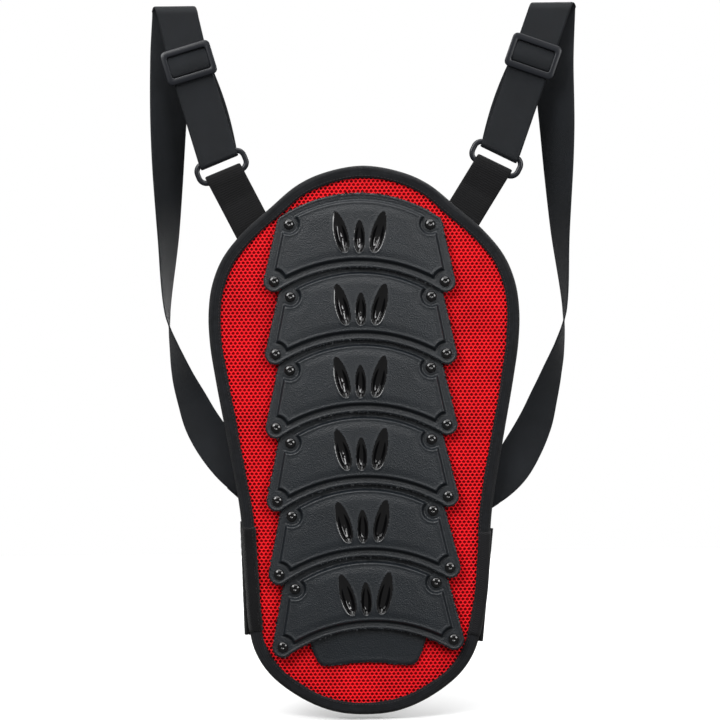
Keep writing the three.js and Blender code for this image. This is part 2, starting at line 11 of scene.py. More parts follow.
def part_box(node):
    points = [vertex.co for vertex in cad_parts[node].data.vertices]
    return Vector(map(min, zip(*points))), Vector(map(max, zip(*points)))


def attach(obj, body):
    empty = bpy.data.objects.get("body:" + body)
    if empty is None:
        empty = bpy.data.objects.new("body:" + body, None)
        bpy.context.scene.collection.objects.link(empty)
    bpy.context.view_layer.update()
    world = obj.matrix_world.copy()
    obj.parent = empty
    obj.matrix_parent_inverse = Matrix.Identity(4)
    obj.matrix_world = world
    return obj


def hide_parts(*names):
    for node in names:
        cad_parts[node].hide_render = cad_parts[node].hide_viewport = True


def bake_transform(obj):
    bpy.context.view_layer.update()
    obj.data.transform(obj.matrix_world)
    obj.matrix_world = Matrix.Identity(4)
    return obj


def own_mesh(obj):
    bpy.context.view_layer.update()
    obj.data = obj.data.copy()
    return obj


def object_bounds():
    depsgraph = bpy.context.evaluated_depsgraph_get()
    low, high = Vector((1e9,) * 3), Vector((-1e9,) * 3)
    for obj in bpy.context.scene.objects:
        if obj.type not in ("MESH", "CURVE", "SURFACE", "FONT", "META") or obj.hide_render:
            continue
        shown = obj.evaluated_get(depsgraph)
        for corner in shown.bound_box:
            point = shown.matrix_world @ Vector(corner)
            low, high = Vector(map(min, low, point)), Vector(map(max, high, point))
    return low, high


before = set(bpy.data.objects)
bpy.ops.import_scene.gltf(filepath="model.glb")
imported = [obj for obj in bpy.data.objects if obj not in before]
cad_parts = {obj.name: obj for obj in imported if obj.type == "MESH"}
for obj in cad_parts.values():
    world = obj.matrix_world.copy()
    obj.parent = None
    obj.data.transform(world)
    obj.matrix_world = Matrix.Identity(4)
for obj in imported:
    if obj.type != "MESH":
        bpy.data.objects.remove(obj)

CAD_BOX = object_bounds()
MM = 0.001
rng = np.random.default_rng(7)
random.seed(7)

# ---- driving dimensions, in millimetres as in the CAD ----------------------
PAD_EDGE = [
    (0, 272.5), (37, 266), (62, 254.5), (88, 233), (114.5, 209.5), (133, 186),
    (143, 161), (146.5, 135), (145.5, 106), (140.5, 72), (127.5, 0), (118.5, -55),
    (114.5, -118), (110, -160), (103, -186), (88, -208), (58, -230), (29, -241.5),
    (0, -244.5),
]
PAD_SWAY = (-120, 60, 2.2)
PLATES = [
    (-3.3, 216.2, -0.6), (-2.8, 148.5, -0.4), (-4.0, 80.8, 0.6),
    (-4.0, 13.1, 1.0), (-3.6, -54.6, 1.7), (-1.2, -122.3, 2.0),
]
ROW_BODIES = ["row_1", "row_2", "row_3", "mid_back", "lower_back", "lower_back"]
LEAN = 3.4
STANDOFF = 2.0
FLANGE_T = 2.4
PANEL_RISE = 6.6
TOP_ARC = (0, -103.8, 133.8)
LOWER_ARC = (0, -183.2, 142.7)
LUG = (80.3, -54, 9.6)
CORNER = (71.7, 2.5, 5.5)
UPPER_RIVET = (66.2, 0)
LOWER_RIVET = (80, -53.6)
SCOOP_R = 10.6
RIVET_R = 4.9
CLAWS = [(-18, -7.6, 14.5, 40, 6.5), (0, -12, 0, 31, 5.2), (18, -7.6, -14.5, 40, 6.5)]
MESH_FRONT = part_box("mesh_face")[0][1] / MM
BINDING_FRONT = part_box("edge_binding")[0][1] / MM
BINDING_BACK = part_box("edge_binding")[1][1] / MM
BINDING_W = 12
WRAP_LIFT = 0.5
CUT_Z = [132.3, 64.6, -3.0]
FLEX_BODIES = [("row_1", "row_2"), ("row_2", "row_3"), ("row_3", "mid_back"), ("mid_back", "lower_back")]
WEB_W = 38
WEB_T = 1.4
RING_Y = 3.45
RING_SHORT = 19
RING_LONG = 47.6
TAB_LENGTH = 54
TAB_HIDDEN = 26
STRAP_TOP = 427.2
FOLD_R = 8
SLIDER_RISE = 93
SIDES = {
    "left": {
        "top_bend": 0.065, "ring_at": (-133.3, 273.7), "ring_turn": 22, "tab_turn": 27, "strap_turn": 16.3,
        "rear": [
            (-182.5, 17, 375, 14), (-185.4, 22, 302, 34), (-187, 30, 212, 62), (-188.8, 34, 133, 90),
            (-182, 31, 98.7, 112), (-175.3, 26, 76.2, 127), (-166, 20, 53.5, 143),
            (-155.2, 12, 30.7, 160), (-140, 4.6, 8.1, 178), (-126, 2.6, -9, 180), (-110.5, 2.6, -23, 180),
        ],
    },
    "right": {
        "top_bend": 0.0, "ring_at": (-127, 278.6), "ring_turn": 26.5, "tab_turn": 32, "strap_turn": 19.7,
        "rear": [
            (-184, 17, 375, 14), (-187, 22, 302, 36), (-189.5, 30, 212, 68), (-193.3, 34, 133, 92),
            (-187.5, 32, 98.7, 112), (-180.5, 28, 76.2, 125), (-172.5, 23, 53.5, 138),
            (-163, 16, 29, 154), (-150.5, 8, 6, 168), (-137, 3.6, -14, 178), (-123, 2.6, -27, 180),
            (-107, 2.6, -37, 180),
        ],
    },
}
REAR_SPLIT = 133
BELT_HALF = 115.5
BELT_H = 107
BELT_Z = -120.5
BELT_TURN = 2.2
BELT_TAPER = ((2.3, -4.7), (-0.9, -7.5))
WING_INNER = 105
WING_OUTER = 102
CELL_W = 4.1
CELL_H = 3.15
CLAW_FOOT = 0.45
CLAW_TIP = 0.62
SLOT_SCALE = 0.15
SLIDER_HALF = 18.95
HUMP_W = 38.6
QUILT_PITCH = 34.0
REST_PANEL = (45, -40, 60)
PLATE_STEP = 0.75
PLATE_WINDOW = (-91, 91, -65, 31)
PLATE_WALL = 2.0
TAIL_HALF = [
    (0, -194.5), (16, -195.2), (30, -197), (38, -197.8), (43, -197), (47, -194), (51, -185),
    (55, -173), (50, -150), (0, -146),
]
TAIL_STEP = 1.5
TAIL_WINDOW = (-57, 57, -199, -145)
TAIL_WALL = 1.5
STITCH_COUNT = 400
STITCH_LENGTH = 2.2
STITCH_R = 0.33
BELT_WRAPS = (
    ("left", -1, -168, -66, 13.4, 0.22),
    ("right", 1, -173, -72, 11.6, 0.0),
)
BELT_RIBS = 0.16
PILE_ROUGH = 0.35


# ---- mesh helpers -----------------------------------------------------------
def mesh_object(name, verts, faces, material=None, smooth=True, attributes=None, extra_materials=(),
                face_materials=None):
    """verts in millimetres; attributes maps a name to one vector per vertex."""
    mesh = bpy.data.meshes.new(name)
    mesh.from_pydata([], [], [])
    verts = np.asarray(verts, float) * MM
    flat, starts, totals = [], [], []
    for face in faces:
        starts.append(len(flat))
        totals.append(len(face))
        flat.extend(face)
    mesh.vertices.add(len(verts))
    mesh.vertices.foreach_set("co", verts.astype(np.float32).ravel())
    mesh.loops.add(len(flat))
    mesh.loops.foreach_set("vertex_index", np.asarray(flat, np.int32))
    mesh.polygons.add(len(totals))
    mesh.polygons.foreach_set("loop_start", np.asarray(starts, np.int32))
    mesh.polygons.foreach_set("loop_total", np.asarray(totals, np.int32))
    mesh.update(calc_edges=True)
    mesh.validate()
    for m in [material, *extra_materials]:
        if m is not None:
            mesh.materials.append(m)
    if face_materials is not None:
        mesh.polygons.foreach_set("material_index", np.asarray(face_materials, np.int32))
    mesh.polygons.foreach_set("use_smooth", np.full(len(mesh.polygons), smooth))
    for key, values in (attributes or {}).items():
        layer = mesh.attributes.new(key, "FLOAT_VECTOR", "POINT")
        layer.data.foreach_set("vector", np.asarray(values, np.float32).ravel())
    obj = bpy.data.objects.new(name, mesh)
    bpy.context.scene.collection.objects.link(obj)
    return obj


def declare(obj, body, slot_name, *replaced):
    """Ties a rigid piece to its body and hides the CAD nodes it stands for; slot_name is not used."""
    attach(obj, body)
    if replaced:
        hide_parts(*replaced)
    return obj


def placed(verts, matrix):
    verts = np.asarray(verts, float)
    m = np.array(matrix)
    return verts @ m[:3, :3].T + m[:3, 3]


def catmull(points, per_span, closed=False):
    """Centripetal Catmull-Rom through the points."""
    p = np.asarray(points, float)
    n = len(p)
    spans = n if closed else n - 1
    out = []
    for i in range(spans):
        if closed:
            q = [p[(i + k) % n] for k in (-1, 0, 1, 2)]
        else:
            q = [p[max(i - 1, 0)], p[i], p[i + 1], p[min(i + 2, n - 1)]]
            if i == 0:
                q[0] = 2 * p[0] - p[1]
            if i == spans - 1:
                q[3] = 2 * p[-1] - p[-2]
        t = [0.0]
        for a, b in zip(q, q[1:]):
            t.append(t[-1] + max(np.linalg.norm(b - a), 1e-6) ** 0.5)
        for s in np.linspace(t[1], t[2], per_span, endpoint=False):
            a1 = (t[1] - s) / (t[1] - t[0]) * q[0] + (s - t[0]) / (t[1] - t[0]) * q[1]
            a2 = (t[2] - s) / (t[2] - t[1]) * q[1] + (s - t[1]) / (t[2] - t[1]) * q[2]
            a3 = (t[3] - s) / (t[3] - t[2]) * q[2] + (s - t[2]) / (t[3] - t[2]) * q[3]
            b1 = (t[2] - s) / (t[2] - t[0]) * a1 + (s - t[0]) / (t[2] - t[0]) * a2
            b2 = (t[3] - s) / (t[3] - t[1]) * a2 + (s - t[1]) / (t[3] - t[1]) * a3
            out.append((t[2] - s) / (t[2] - t[1]) * b1 + (s - t[1]) / (t[2] - t[1]) * b2)
    if not closed:
        out.append(p[-1])
    return np.array(out)


def spaced(points, count, closed=False):
    """The same line with its points evenly spaced."""
    p = np.asarray(points, float)
    if closed:
        p = np.vstack([p, p[:1]])
    step = np.linalg.norm(np.diff(p, axis=0), axis=1)
    run = np.concatenate([[0], np.cumsum(step)])
    at = np.linspace(0, run[-1], count + 1 if closed else count)
    q = np.column_stack([np.interp(at, run, p[:, k]) for k in range(p.shape[1])])
    return q[:-1] if closed else q


def distance(points, loop):
    """Signed distance to a closed loop, negative inside."""
    points = np.asarray(points, float)
    loop = np.asarray(loop, float)
    nxt = np.roll(loop, -1, axis=0)
    out = np.empty(len(points))
    for k in range(0, len(points), 20000):
        p = points[k:k + 20000]
        d = nxt - loop
        rel = p[:, None, :] - loop[None]
        t = np.clip((rel * d).sum(2) / (d * d).sum(1), 0, 1)
        dist = np.sqrt(((rel - t[..., None] * d) ** 2).sum(2)).min(1)
        y0, y1 = loop[:, 1], nxt[:, 1]
        crosses = (y0 <= p[:, 1:2]) != (y1 <= p[:, 1:2])
        x = loop[:, 0] + (p[:, 1:2] - y0) / np.where(y1 == y0, 1e-9, y1 - y0) * (nxt[:, 0] - loop[:, 0])
        inside = (crosses & (x > p[:, 0:1])).sum(1) % 2 == 1
        out[k:k + 20000] = np.where(inside, -dist, dist)
    return out


def smooth_step(x):
    x = np.clip(x, 0, 1)
    return x * x * (3 - 2 * x)


def arc(circle, start, end, steps):
    u, v, r = circle
    a = np.radians(np.linspace(start, end, steps + 1))
    return [(u + r * math.cos(x), v + r * math.sin(x)) for x in a]


def mirrored(half):
    return np.array(list(half) + [(-u, v) for u, v in reversed(half[1:-1])])


def crossing(one, two, side):
    du, dv = two[0] - one[0], two[1] - one[1]
    d = math.hypot(du, dv)
    a = math.atan2(dv, du) + side * math.acos((one[2] ** 2 + d ** 2 - two[2] ** 2) / (2 * one[2] * d))
    return one[0] + one[2] * math.cos(a), one[1] + one[2] * math.sin(a)


def bearing(circle, p):
    return math.degrees(math.atan2(p[1] - circle[1], p[0] - circle[0]))


def pulled_to_outline(p, value, outside, softest, reach):
    """p moved towards outside(p) = 0, by at most reach; value is outside(p)."""
    h = 0.05
    gu = (outside(p + (h, 0)) - outside(p - (h, 0))) / (2 * h)
    gv = (outside(p + (0, h)) - outside(p - (0, h))) / (2 * h)
    norm = np.maximum(np.hypot(gu, gv), softest)
    shift = np.column_stack([gu, gv]) / norm[:, None] ** 2 * value[:, None]
    length = np.linalg.norm(shift, axis=1, keepdims=True)
    return p - shift * np.minimum(1, reach / np.maximum(length, 1e-9))


def grid_quads(inside, flip=False):
    """Quads of a grid whose four corners are all inside; flip turns them over."""
    index = np.arange(inside.size).reshape(inside.shape)
    whole = inside[:-1, :-1] & inside[1:, :-1] & inside[1:, 1:] & inside[:-1, 1:]
    corners = [index[:-1, :-1], index[1:, :-1], index[1:, 1:], index[:-1, 1:]]
    if flip:
        corners = [corners[k] for k in (0, 3, 2, 1)]
    return np.stack(corners, -1)[whole]


def relief(outside, spacing, box):
    """Grid of points inside outside(points) < 0, its border pulled onto the outline."""
    us = np.arange(box[0], box[1] + spacing, spacing)
    vs = np.arange(box[2], box[3] + spacing, spacing)
    grid = np.array(np.meshgrid(us, vs, indexing="ij")).reshape(2, -1).T
    f = outside(grid)
    for _ in range(2):
        near = (f > -0.45 * spacing) & (f < 1.6 * spacing)
        grid[near] = pulled_to_outline(grid[near], f[near], outside, 0.3, spacing * 0.9)
        f = outside(grid)
    inside = (f < 0.12 * spacing).reshape(len(us), len(vs))
    faces = grid_quads(inside)
    sides = np.sort(np.concatenate([faces[:, [k, (k + 1) % 4]] for k in range(4)]), axis=1)
    pairs, count = np.unique(sides, axis=0, return_counts=True)
    border = np.unique(pairs[count == 1])
    for _ in range(4):
        grid[border] = pulled_to_outline(grid[border], outside(grid[border]), outside, 0.4, 0.6 * spacing)
    used = np.unique(faces)
    new = np.zeros(len(grid), int)
    new[used] = np.arange(len(used))
    return grid[used], new[faces]


def solidify(obj, thickness, offset=-1.0, rim=True):
    mod = obj.modifiers.new("wall", "SOLIDIFY")
    mod.use_rim = rim
    mod.thickness = thickness * MM
    mod.offset = offset
    return obj


# ---- materials ----------------------------------------------------------------
def material(name, colour, roughness, bump=None, variation=0.0, grain=38, **sockets):
    m = bpy.data.materials.new(name)
    m.use_nodes = True
    nodes, links = m.node_tree.nodes, m.node_tree.links
    shader = nodes["Principled BSDF"]
    shader.inputs["Base Color"].default_value = (*colour, 1)
    shader.inputs["Roughness"].default_value = roughness
    for key, value in sockets.items():
        shader.inputs[key.replace("_", " ")].default_value = value
    coords = nodes.new("ShaderNodeTexCoord")
    if variation:
        noise = nodes.new("ShaderNodeTexNoise")
        noise.inputs["Scale"].default_value = grain
        noise.inputs["Detail"].default_value = 4
        links.new(coords.outputs["Object"], noise.inputs["Vector"])
        ramp = nodes.new("ShaderNodeValToRGB")
        ramp.color_ramp.elements[0].position = 0.3
        ramp.color_ramp.elements[1].position = 0.7
        ramp.color_ramp.elements[0].color = (*[c * (1 - variation) for c in colour], 1)
        ramp.color_ramp.elements[1].color = (*[c * (1 + variation) for c in colour], 1)
        links.new(noise.outputs["Fac"], ramp.inputs["Fac"])
        links.new(ramp.outputs["Color"], shader.inputs["Base Color"])
    if bump:
        kind, scale, strength, depth = bump
        node = nodes.new("ShaderNodeBump")
        node.inputs["Strength"].default_value = strength
        node.inputs["Distance"].default_value = depth
        links.new(node.outputs["Normal"], shader.inputs["Normal"])
        links.new(BUMPS[kind](nodes, links, coords, scale), node.inputs["Height"])
    return m


def leather_bump(nodes, links, coords, scale):
    cells = nodes.new("ShaderNodeTexVoronoi")
    cells.feature = "SMOOTH_F1"
    cells.inputs["Scale"].default_value = scale
    noise = nodes.new("ShaderNodeTexNoise")
    noise.inputs["Scale"].default_value = scale * 2.2
    noise.inputs["Detail"].default_value = 3
    mix = nodes.new("ShaderNodeMath")
    mix.operation = "MULTIPLY_ADD"
    mix.inputs[1].default_value = 0.6
    links.new(coords.outputs["Object"], cells.inputs["Vector"])
    links.new(coords.outputs["Object"], noise.inputs["Vector"])
    links.new(noise.outputs["Fac"], mix.inputs[0])
    links.new(cells.outputs["Distance"], mix.inputs[2])
    return mix.outputs["Value"]


def noise_bump(nodes, links, coords, scale):
    noise = nodes.new("ShaderNodeTexNoise")
    noise.inputs["Scale"].default_value = scale
    noise.inputs["Detail"].default_value = 5
    links.new(coords.outputs["Object"], noise.inputs["Vector"])
    return noise.outputs["Fac"]


def weave_bump(nodes, links, coords, scale):
    """Crossing ribs on the strip's own across and along distances."""
    place = nodes.new("ShaderNodeAttribute")
    place.attribute_name = "weave"
    split = nodes.new("ShaderNodeSeparateXYZ")
    links.new(place.outputs["Vector"], split.inputs["Vector"])
    waves = []
    for axis, factor in (("X", 1.0), ("Y", 1.6)):
        scaled = nodes.new("ShaderNodeMath")
        scaled.operation = "MULTIPLY"
        scaled.inputs[1].default_value = scale * factor
        links.new(split.outputs[axis], scaled.inputs[0])
        sine = nodes.new("ShaderNodeMath")
        sine.operation = "SINE"
        links.new(scaled.outputs["Value"], sine.inputs[0])
        waves.append(sine.outputs["Value"])
    product = nodes.new("ShaderNodeMath")
    product.operation = "MULTIPLY"
    links.new(waves[0], product.inputs[0])
    links.new(waves[1], product.inputs[1])
    return product.outputs["Value"]


BUMPS = {"leather": leather_bump, "noise": noise_bump, "weave": weave_bump}

PLATE_MAT = material("plate_leather", (0.0082, 0.0114, 0.0150), 0.40, ("leather", 1000, 0.5, 0.0006),
                     0.12, Specular_IOR_Level=0.55)
GLOSS_MAT = material("vent_gloss", (0.0022, 0.0022, 0.0026), 0.10, None,
                     Coat_Weight=0.6, Coat_Roughness=0.06)
RIVET_MAT = material("rivet_gloss", (0.0022, 0.0022, 0.0026), 0.13, ("noise", 400, 0.06, 0.0004),
                     Coat_Weight=0.4, Coat_Roughness=0.08)
MESH_MAT = material("mesh_red", (0.95, 0.0045, 0.012), 0.60, ("noise", 1500, 0.35, 0.0004), 0.10,
                    Specular_IOR_Level=0.25, Sheen_Weight=0.04, Sheen_Roughness=0.5)
# dark maroon of the inner mesh layer: partly its own colour, partly painted shade seen down the holes
BACKING_SHADE_MAT = material("mesh_backing_shade", (0.20, 0.002, 0.005), 0.9, ("noise", 900, 0.4, 0.0004), 0.25,
                       Specular_IOR_Level=0.1)
FOAM_MAT = material("foam", (0.06, 0.004, 0.006), 0.95, ("noise", 700, 0.4, 0.0005), 0.1,
                    Specular_IOR_Level=0.1)
LINING_MAT = material("lining_knit", (0.0085, 0.0085, 0.0100), 0.85, ("weave", 2600, 0.5, 0.0004), 0.20,
                      Specular_IOR_Level=0.25, Sheen_Weight=0.10, Sheen_Roughness=0.5)
BINDING_MAT = material("binding_tape", (0.0088, 0.0100, 0.0126), 0.75, ("weave", 4200, 0.9, 0.0005), 0.38,
                       230, Specular_IOR_Level=0.25, Sheen_Weight=0.10, Sheen_Roughness=0.4)
WEB_MAT = material("webbing", (0.0048, 0.0066, 0.0094), 0.55, ("weave", 4600, 0.6, 0.0003), 0.18,
                   Specular_IOR_Level=0.30, Sheen_Weight=0.08, Sheen_Roughness=0.4)
TAB_MAT = material("tab_webbing", (0.0030, 0.0030, 0.0036), 0.7, ("weave", 4600, 0.5, 0.0003), 0.2,
                   Specular_IOR_Level=0.25, Sheen_Weight=0.05, Sheen_Roughness=0.5)
BUCKLE_MAT = material("buckle_plastic", (0.0085, 0.0100, 0.0140), 0.33, ("noise", 1800, 0.15, 0.0002), 0.08)
ELASTIC_MAT = material("belt_elastic", (0.0070, 0.0070, 0.0085), 0.8, ("weave", 3600, 0.6, 0.0004), 0.2,
                       Specular_IOR_Level=0.25, Sheen_Weight=0.10, Sheen_Roughness=0.5)
PILE_MAT = material("loop_pile", (0.0060, 0.0060, 0.0070), 0.95, ("noise", 1600, 1.0, 0.0012), 0.4,
                    Specular_IOR_Level=0.1, Sheen_Weight=0.20, Sheen_Roughness=0.5)
BELT_FABRICS = {"left": (PILE_MAT, "fastener_pile"), "right": (ELASTIC_MAT, "belt_elastic")}
THREAD_MAT = material("thread", (0.0170, 0.0175, 0.0200), 0.55, ("noise", 2500, 0.3, 0.0002), 0.1)


# ---- pad surface ----------------------------------------------------------------
EDGE_COUNT = 420


def pad_edge():
    right = [np.array(p, float) for p in PAD_EDGE]
    left = [p * (-1, 1) for p in right[1:-1][::-1]]
    loop = spaced(catmull(right + left, 12, closed=True), EDGE_COUNT, closed=True)[::-1]
    loop[:, 0] -= PAD_SWAY[2] * smooth_step((PAD_SWAY[0] - loop[:, 1]) / PAD_SWAY[1])
    return loop


EDGE = pad_edge()
COARSE_EDGE = EDGE[::4]


def plate_matrix(i):
    x, z, turn = PLATES[i]
    return (Matrix.Translation((x, MESH_FRONT - STANDOFF, z))
            @ Matrix.Rotation(-math.radians(turn), 4, "Y")
            @ Matrix.Rotation(-math.radians(LEAN), 4, "X"))


def rivet_places():
    for i in range(len(PLATES)):
        m = plate_matrix(i)
        for u, v in (UPPER_RIVET, LOWER_RIVET):
            for s, side in ((-1, "l"), (1, "r")):
                level = "u" if v == 0 else "l"
                p = m @ Vector((s * u, 0, v))
                yield i, f"rivet_{i + 1}_{level}{side}", (s * u, v), p, MESH_FRONT - p.y


RIVETS = list(rivet_places())
RIVET_XZ = np.array([(p.x, p.z) for _, _, _, p, _ in RIVETS])


def face_height(xz):
    """How far the mesh face sits back from its CAD front, in millimetres."""
    xz = np.asarray(xz, float)
    edge = -distance(xz, COARSE_EDGE) - BINDING_W + 2
    tucked = 1.7 * np.exp(-np.clip(edge, 0, None) / 5.0)
    d = np.sqrt(((xz[:, None, :] - RIVET_XZ[None]) ** 2).sum(2)).min(1)
    pulled = 0.9 * np.exp(-(d / 9.0) ** 2)
    wave = 0.35 * np.sin(xz[:, 0] / 31 + 0.6) * np.sin(xz[:, 1] / 27 + 1.1)
    return tucked + pulled + 0.35 + wave


def bend_pieces(name, replaced, build):
    """build(name, low, high) makes one piece per flex line, between its two rows."""
    tops = [1e3, *CUT_Z]
    bottoms = [*CUT_Z, -1e3]
    made = []
    for k, (upper, lower) in enumerate(FLEX_BODIES):
        obj = build(f"{name}_{k + 1}", bottoms[k], tops[k])
        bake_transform(obj)
        made.append(obj)
    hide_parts(*replaced)
    return made


def mesh_cells():
    rows = np.arange(-250, 280, CELL_H)
    centres = []
    for k, z in enumerate(rows):
        xs = np.arange(-156, 156, CELL_W) + (CELL_W / 2 if k % 2 else 0)
        centres += [(x, z, k) for x in xs]
    c = np.array(centres)
    return c[distance(c[:, :2], COARSE_EDGE) < -(BINDING_W - 5)]


CELLS = mesh_cells()


def mesh_face_piece(name, low, high):
    c = CELLS[(CELLS[:, 1] >= low) & (CELLS[:, 1] < high)][:, :2]
    top = CELL_H / 2 + CELL_W ** 2 / (8 * CELL_H)
    side = CELL_H / 2 - CELL_W ** 2 / (8 * CELL_H)
    w = CELL_W / 2
    corner = np.array([(0, top), (-w, side), (-w, -side), (0, -top), (w, -side), (w, side)])
    rings = [(1.0, 0.0), (0.82, 0.12), (0.66, 0.70), (0.70, 1.5)]
    verts, faces = [], []
    n = len(c)
    for scale, drop in rings:
        p = c[:, None, :] + corner[None] * scale
        verts.append(np.concatenate([p, np.full((n, 6, 1), drop)], 2).reshape(-1, 3))
    base = np.arange(n)[:, None] * 6
    for r in range(len(rings) - 1):
        for k in range(6):
            a = base + 6 * n * r + k
            b = base + 6 * n * r + (k + 1) % 6
            faces.append(np.hstack([a, a + 6 * n, b + 6 * n, b]))
    verts = np.vstack(verts)
    faces = np.vstack(faces)
    key = np.round(verts * 50).astype(np.int64)
    _, first, inverse = np.unique(key, axis=0, return_index=True, return_inverse=True)
    verts = verts[first]
    faces = inverse.reshape(-1)[faces]
    drop = verts[:, 2]
    strand = 0.10 * np.sin(verts[:, 0] * 2 * math.pi / CELL_W + verts[:, 1] * math.pi / CELL_H)
    y = MESH_FRONT + face_height(verts[:, :2]) + drop + np.where(drop < 0.2, strand, 0)
    surface = np.column_stack([verts[:, 0], y, verts[:, 1]])
    # the inner layer seen through the holes; its dark maroon is partly the layer's own darker colour and
    # partly painted shade for the depth of the holes
    step = 6.0
    lo = max(low, -246)
    hi = min(high, 274)
    us = np.arange(-150, 150 + step, step)
    vs = np.linspace(lo, hi, max(3, int((hi - lo) / step)))
    g = np.array(np.meshgrid(us, vs, indexing="ij")).reshape(2, -1).T
    inside = (distance(g, COARSE_EDGE) < -4).reshape(len(us), len(vs))
    back = grid_quads(inside) + len(surface)
    layer = np.column_stack([g[:, 0], MESH_FRONT + np.minimum(face_height(g) + 1.25, 3.2), g[:, 1]])
    allv = np.vstack([surface, layer])
    allf = [*faces.tolist(), *back.tolist()]
    marks = [0] * len(faces) + [1] * len(back)
    obj = mesh_object(name, allv, allf, MESH_MAT, extra_materials=[BACKING_SHADE_MAT], face_materials=marks)
    drop_loose(obj)
    return obj


def drop_loose(obj):
    bm = bmesh.new()
    bm.from_mesh(obj.data)
    bmesh.ops.delete(bm, geom=[v for v in bm.verts if not v.link_faces], context="VERTS")
    bm.to_mesh(obj.data)
    bm.free()


def edge_normals(loop):
    t = np.roll(loop, -1, axis=0) - np.roll(loop, 1, axis=0)
    t /= np.linalg.norm(t, axis=1, keepdims=True)
    return np.column_stack([-t[:, 1], t[:, 0]])


def binding_profile():
    """(inset, depth) round the tape's section, from its front inner edge to its back inner edge."""
    front, back = BINDING_FRONT, BINDING_BACK
    r = 4.5
    line = [(BINDING_W, front + 1.75), (BINDING_W - 0.5, front + 0.75), (BINDING_W - 2.2, front + 0.35),
            (8, front + 0.1), (r, front + 0.25)]
    for a in np.linspace(100, 260, 9):
        mid = (front + back) / 2
        half = (back - front) / 2 - 0.1
        line.append((r + r * math.cos(math.radians(a)) * 1.0, mid - half * math.sin(math.radians(a))))
    line += [(r, back - 0.1), (8, back - 0.05), (BINDING_W - 2.2, back - 0.2),
             (BINDING_W - 0.5, back - 0.5), (BINDING_W, back - 1.1)]
    return line


def binding_piece(name, low, high):
    n = len(EDGE)
    normal = edge_normals(EDGE)
    profile = binding_profile()
    m = len(profile)
    run = np.arange(n) * np.linalg.norm(EDGE[1] - EDGE[0])
    wobble = 0.25 * np.sin(run / 21) + 0.18 * np.sin(run / 7.3 + 2)
    verts, weave = [], []
    for j, (inward, depth) in enumerate(profile):
        p = EDGE + normal * (inward + (wobble if inward > BINDING_W - 1 else 0 * wobble))[:, None]
        puff = 0.22 * np.sin(run / 11 + j) * (1 if 2 < inward < 10 else 0)
        puff *= 1 if depth > -7 else -1
        verts.append(np.column_stack([p[:, 0], np.full(n, depth) + puff, p[:, 1]]))
        weave.append(np.column_stack([np.full(n, j * 1.4 * MM), run * MM, np.zeros(n)]))
    verts = np.stack(verts, 1).reshape(-1, 3)
    weave = np.stack(weave, 1).reshape(-1, 3)
    faces = []
    mid = (EDGE[:, 1] + np.roll(EDGE[:, 1], -1)) / 2
    for i in range(n):
        if not low <= mid[i] < high:
            continue
        k = (i + 1) % n
        for j in range(m - 1):
            faces.append((i * m + j, k * m + j, k * m + j + 1, i * m + j + 1))
    obj = mesh_object(name, verts, faces, BINDING_MAT, attributes={"weave": weave})
    drop_loose(obj)
    return solidify(obj, 0.9, 1.0, rim=False)


def edge_wrap(name, side, low, high, reach, mat, slot_name, rough=0.0):
    """End of the belt brought round the pad's edge, over the binding, on one side."""
    normal = edge_normals(EDGE)
    rows = np.where((EDGE[:, 0] * side > 0) & (EDGE[:, 1] > low) & (EDGE[:, 1] < high))[0]
    mid = (BINDING_FRONT + BINDING_BACK) / 2
    profile = [(reach, BINDING_FRONT + 0.9)] + binding_profile()[2:]
    n, m = len(rows), len(profile)
    verts, weave = [], []
    for k, i in enumerate(rows):
        for j, (inward, depth) in enumerate(profile):
            fray = rough * random.uniform(-1, 1)
            lift = WRAP_LIFT + fray
            inset = inward - (lift if 1 < j < m - 1 and inward < 5 else 0)
            p = EDGE[i] + normal[i] * (inset + (2 * fray if j == 0 else 0))
            outward = 1 if depth < mid else -1
            end_fray = fray if k in (0, n - 1) else 0
            verts.append((p[0], depth - lift * outward, p[1] + end_fray))
            weave.append((j * 1.4 * MM, k * 2 * MM, 0))
    faces = [(k * m + j, (k + 1) * m + j, (k + 1) * m + j + 1, k * m + j + 1)
             for k in range(n - 1) for j in range(m - 1)]
    obj = mesh_object(name, verts, faces, mat, attributes={"weave": weave})
    solidify(obj, 0.9, 1.0)
    declare(obj, "lower_back", slot_name)


def stitch_mesh(points, tangents, length, radius, out):
    """A row of short raised stitches; out is the side they stand on (+1 is +Y)."""
    ring = 6
    verts, faces = [], []
    for p, t in zip(points, tangents):
        t = Vector(t).normalized()
        up = Vector((0, out, 0))
        side = t.cross(up).normalized()
        base = len(verts)
        for s, scale in ((-0.5, 0.35), (-0.3, 0.95), (0, 1.1), (0.3, 0.95), (0.5, 0.35)):
            for k in range(ring):
                a = 2 * math.pi * k / ring
                around = side * math.cos(a) + up * math.sin(a) * 0.8
                verts.append(Vector(p) + t * (s * length) + around * radius * scale)
        for r in range(4):
            for k in range(ring):
                a = base + r * ring + k
                b = base + r * ring + (k + 1) % ring
                faces.append((a, b, b + ring, a + ring))
        faces.append(tuple(base + k for k in reversed(range(ring))))
        faces.append(tuple(base + 4 * ring + k for k in range(ring)))
    return verts, faces


def binding_stitches(name, low, high):
    loop = spaced(EDGE, STITCH_COUNT, closed=True)
    normal = edge_normals(loop)
    t = np.roll(loop, -1, axis=0) - np.roll(loop, 1, axis=0)
    p = loop + normal * (BINDING_W - 1.9)
    keep = (p[:, 1] >= low) & (p[:, 1] < high)
    points, tangents = [], []
    verts, faces = [], []
    for y, out in ((BINDING_FRONT + 0.15, -1), (BINDING_BACK - 0.05, 1)):
        points = [(a, y, b) for a, b in p[keep]]
        tangents = [(a, 0, b) for a, b in t[keep]]
        v, f = stitch_mesh(points, tangents, STITCH_LENGTH, STITCH_R, out)
        faces += [tuple(i + len(verts) for i in face) for face in f]
        verts += v
    return mesh_object(name, verts, faces, THREAD_MAT)


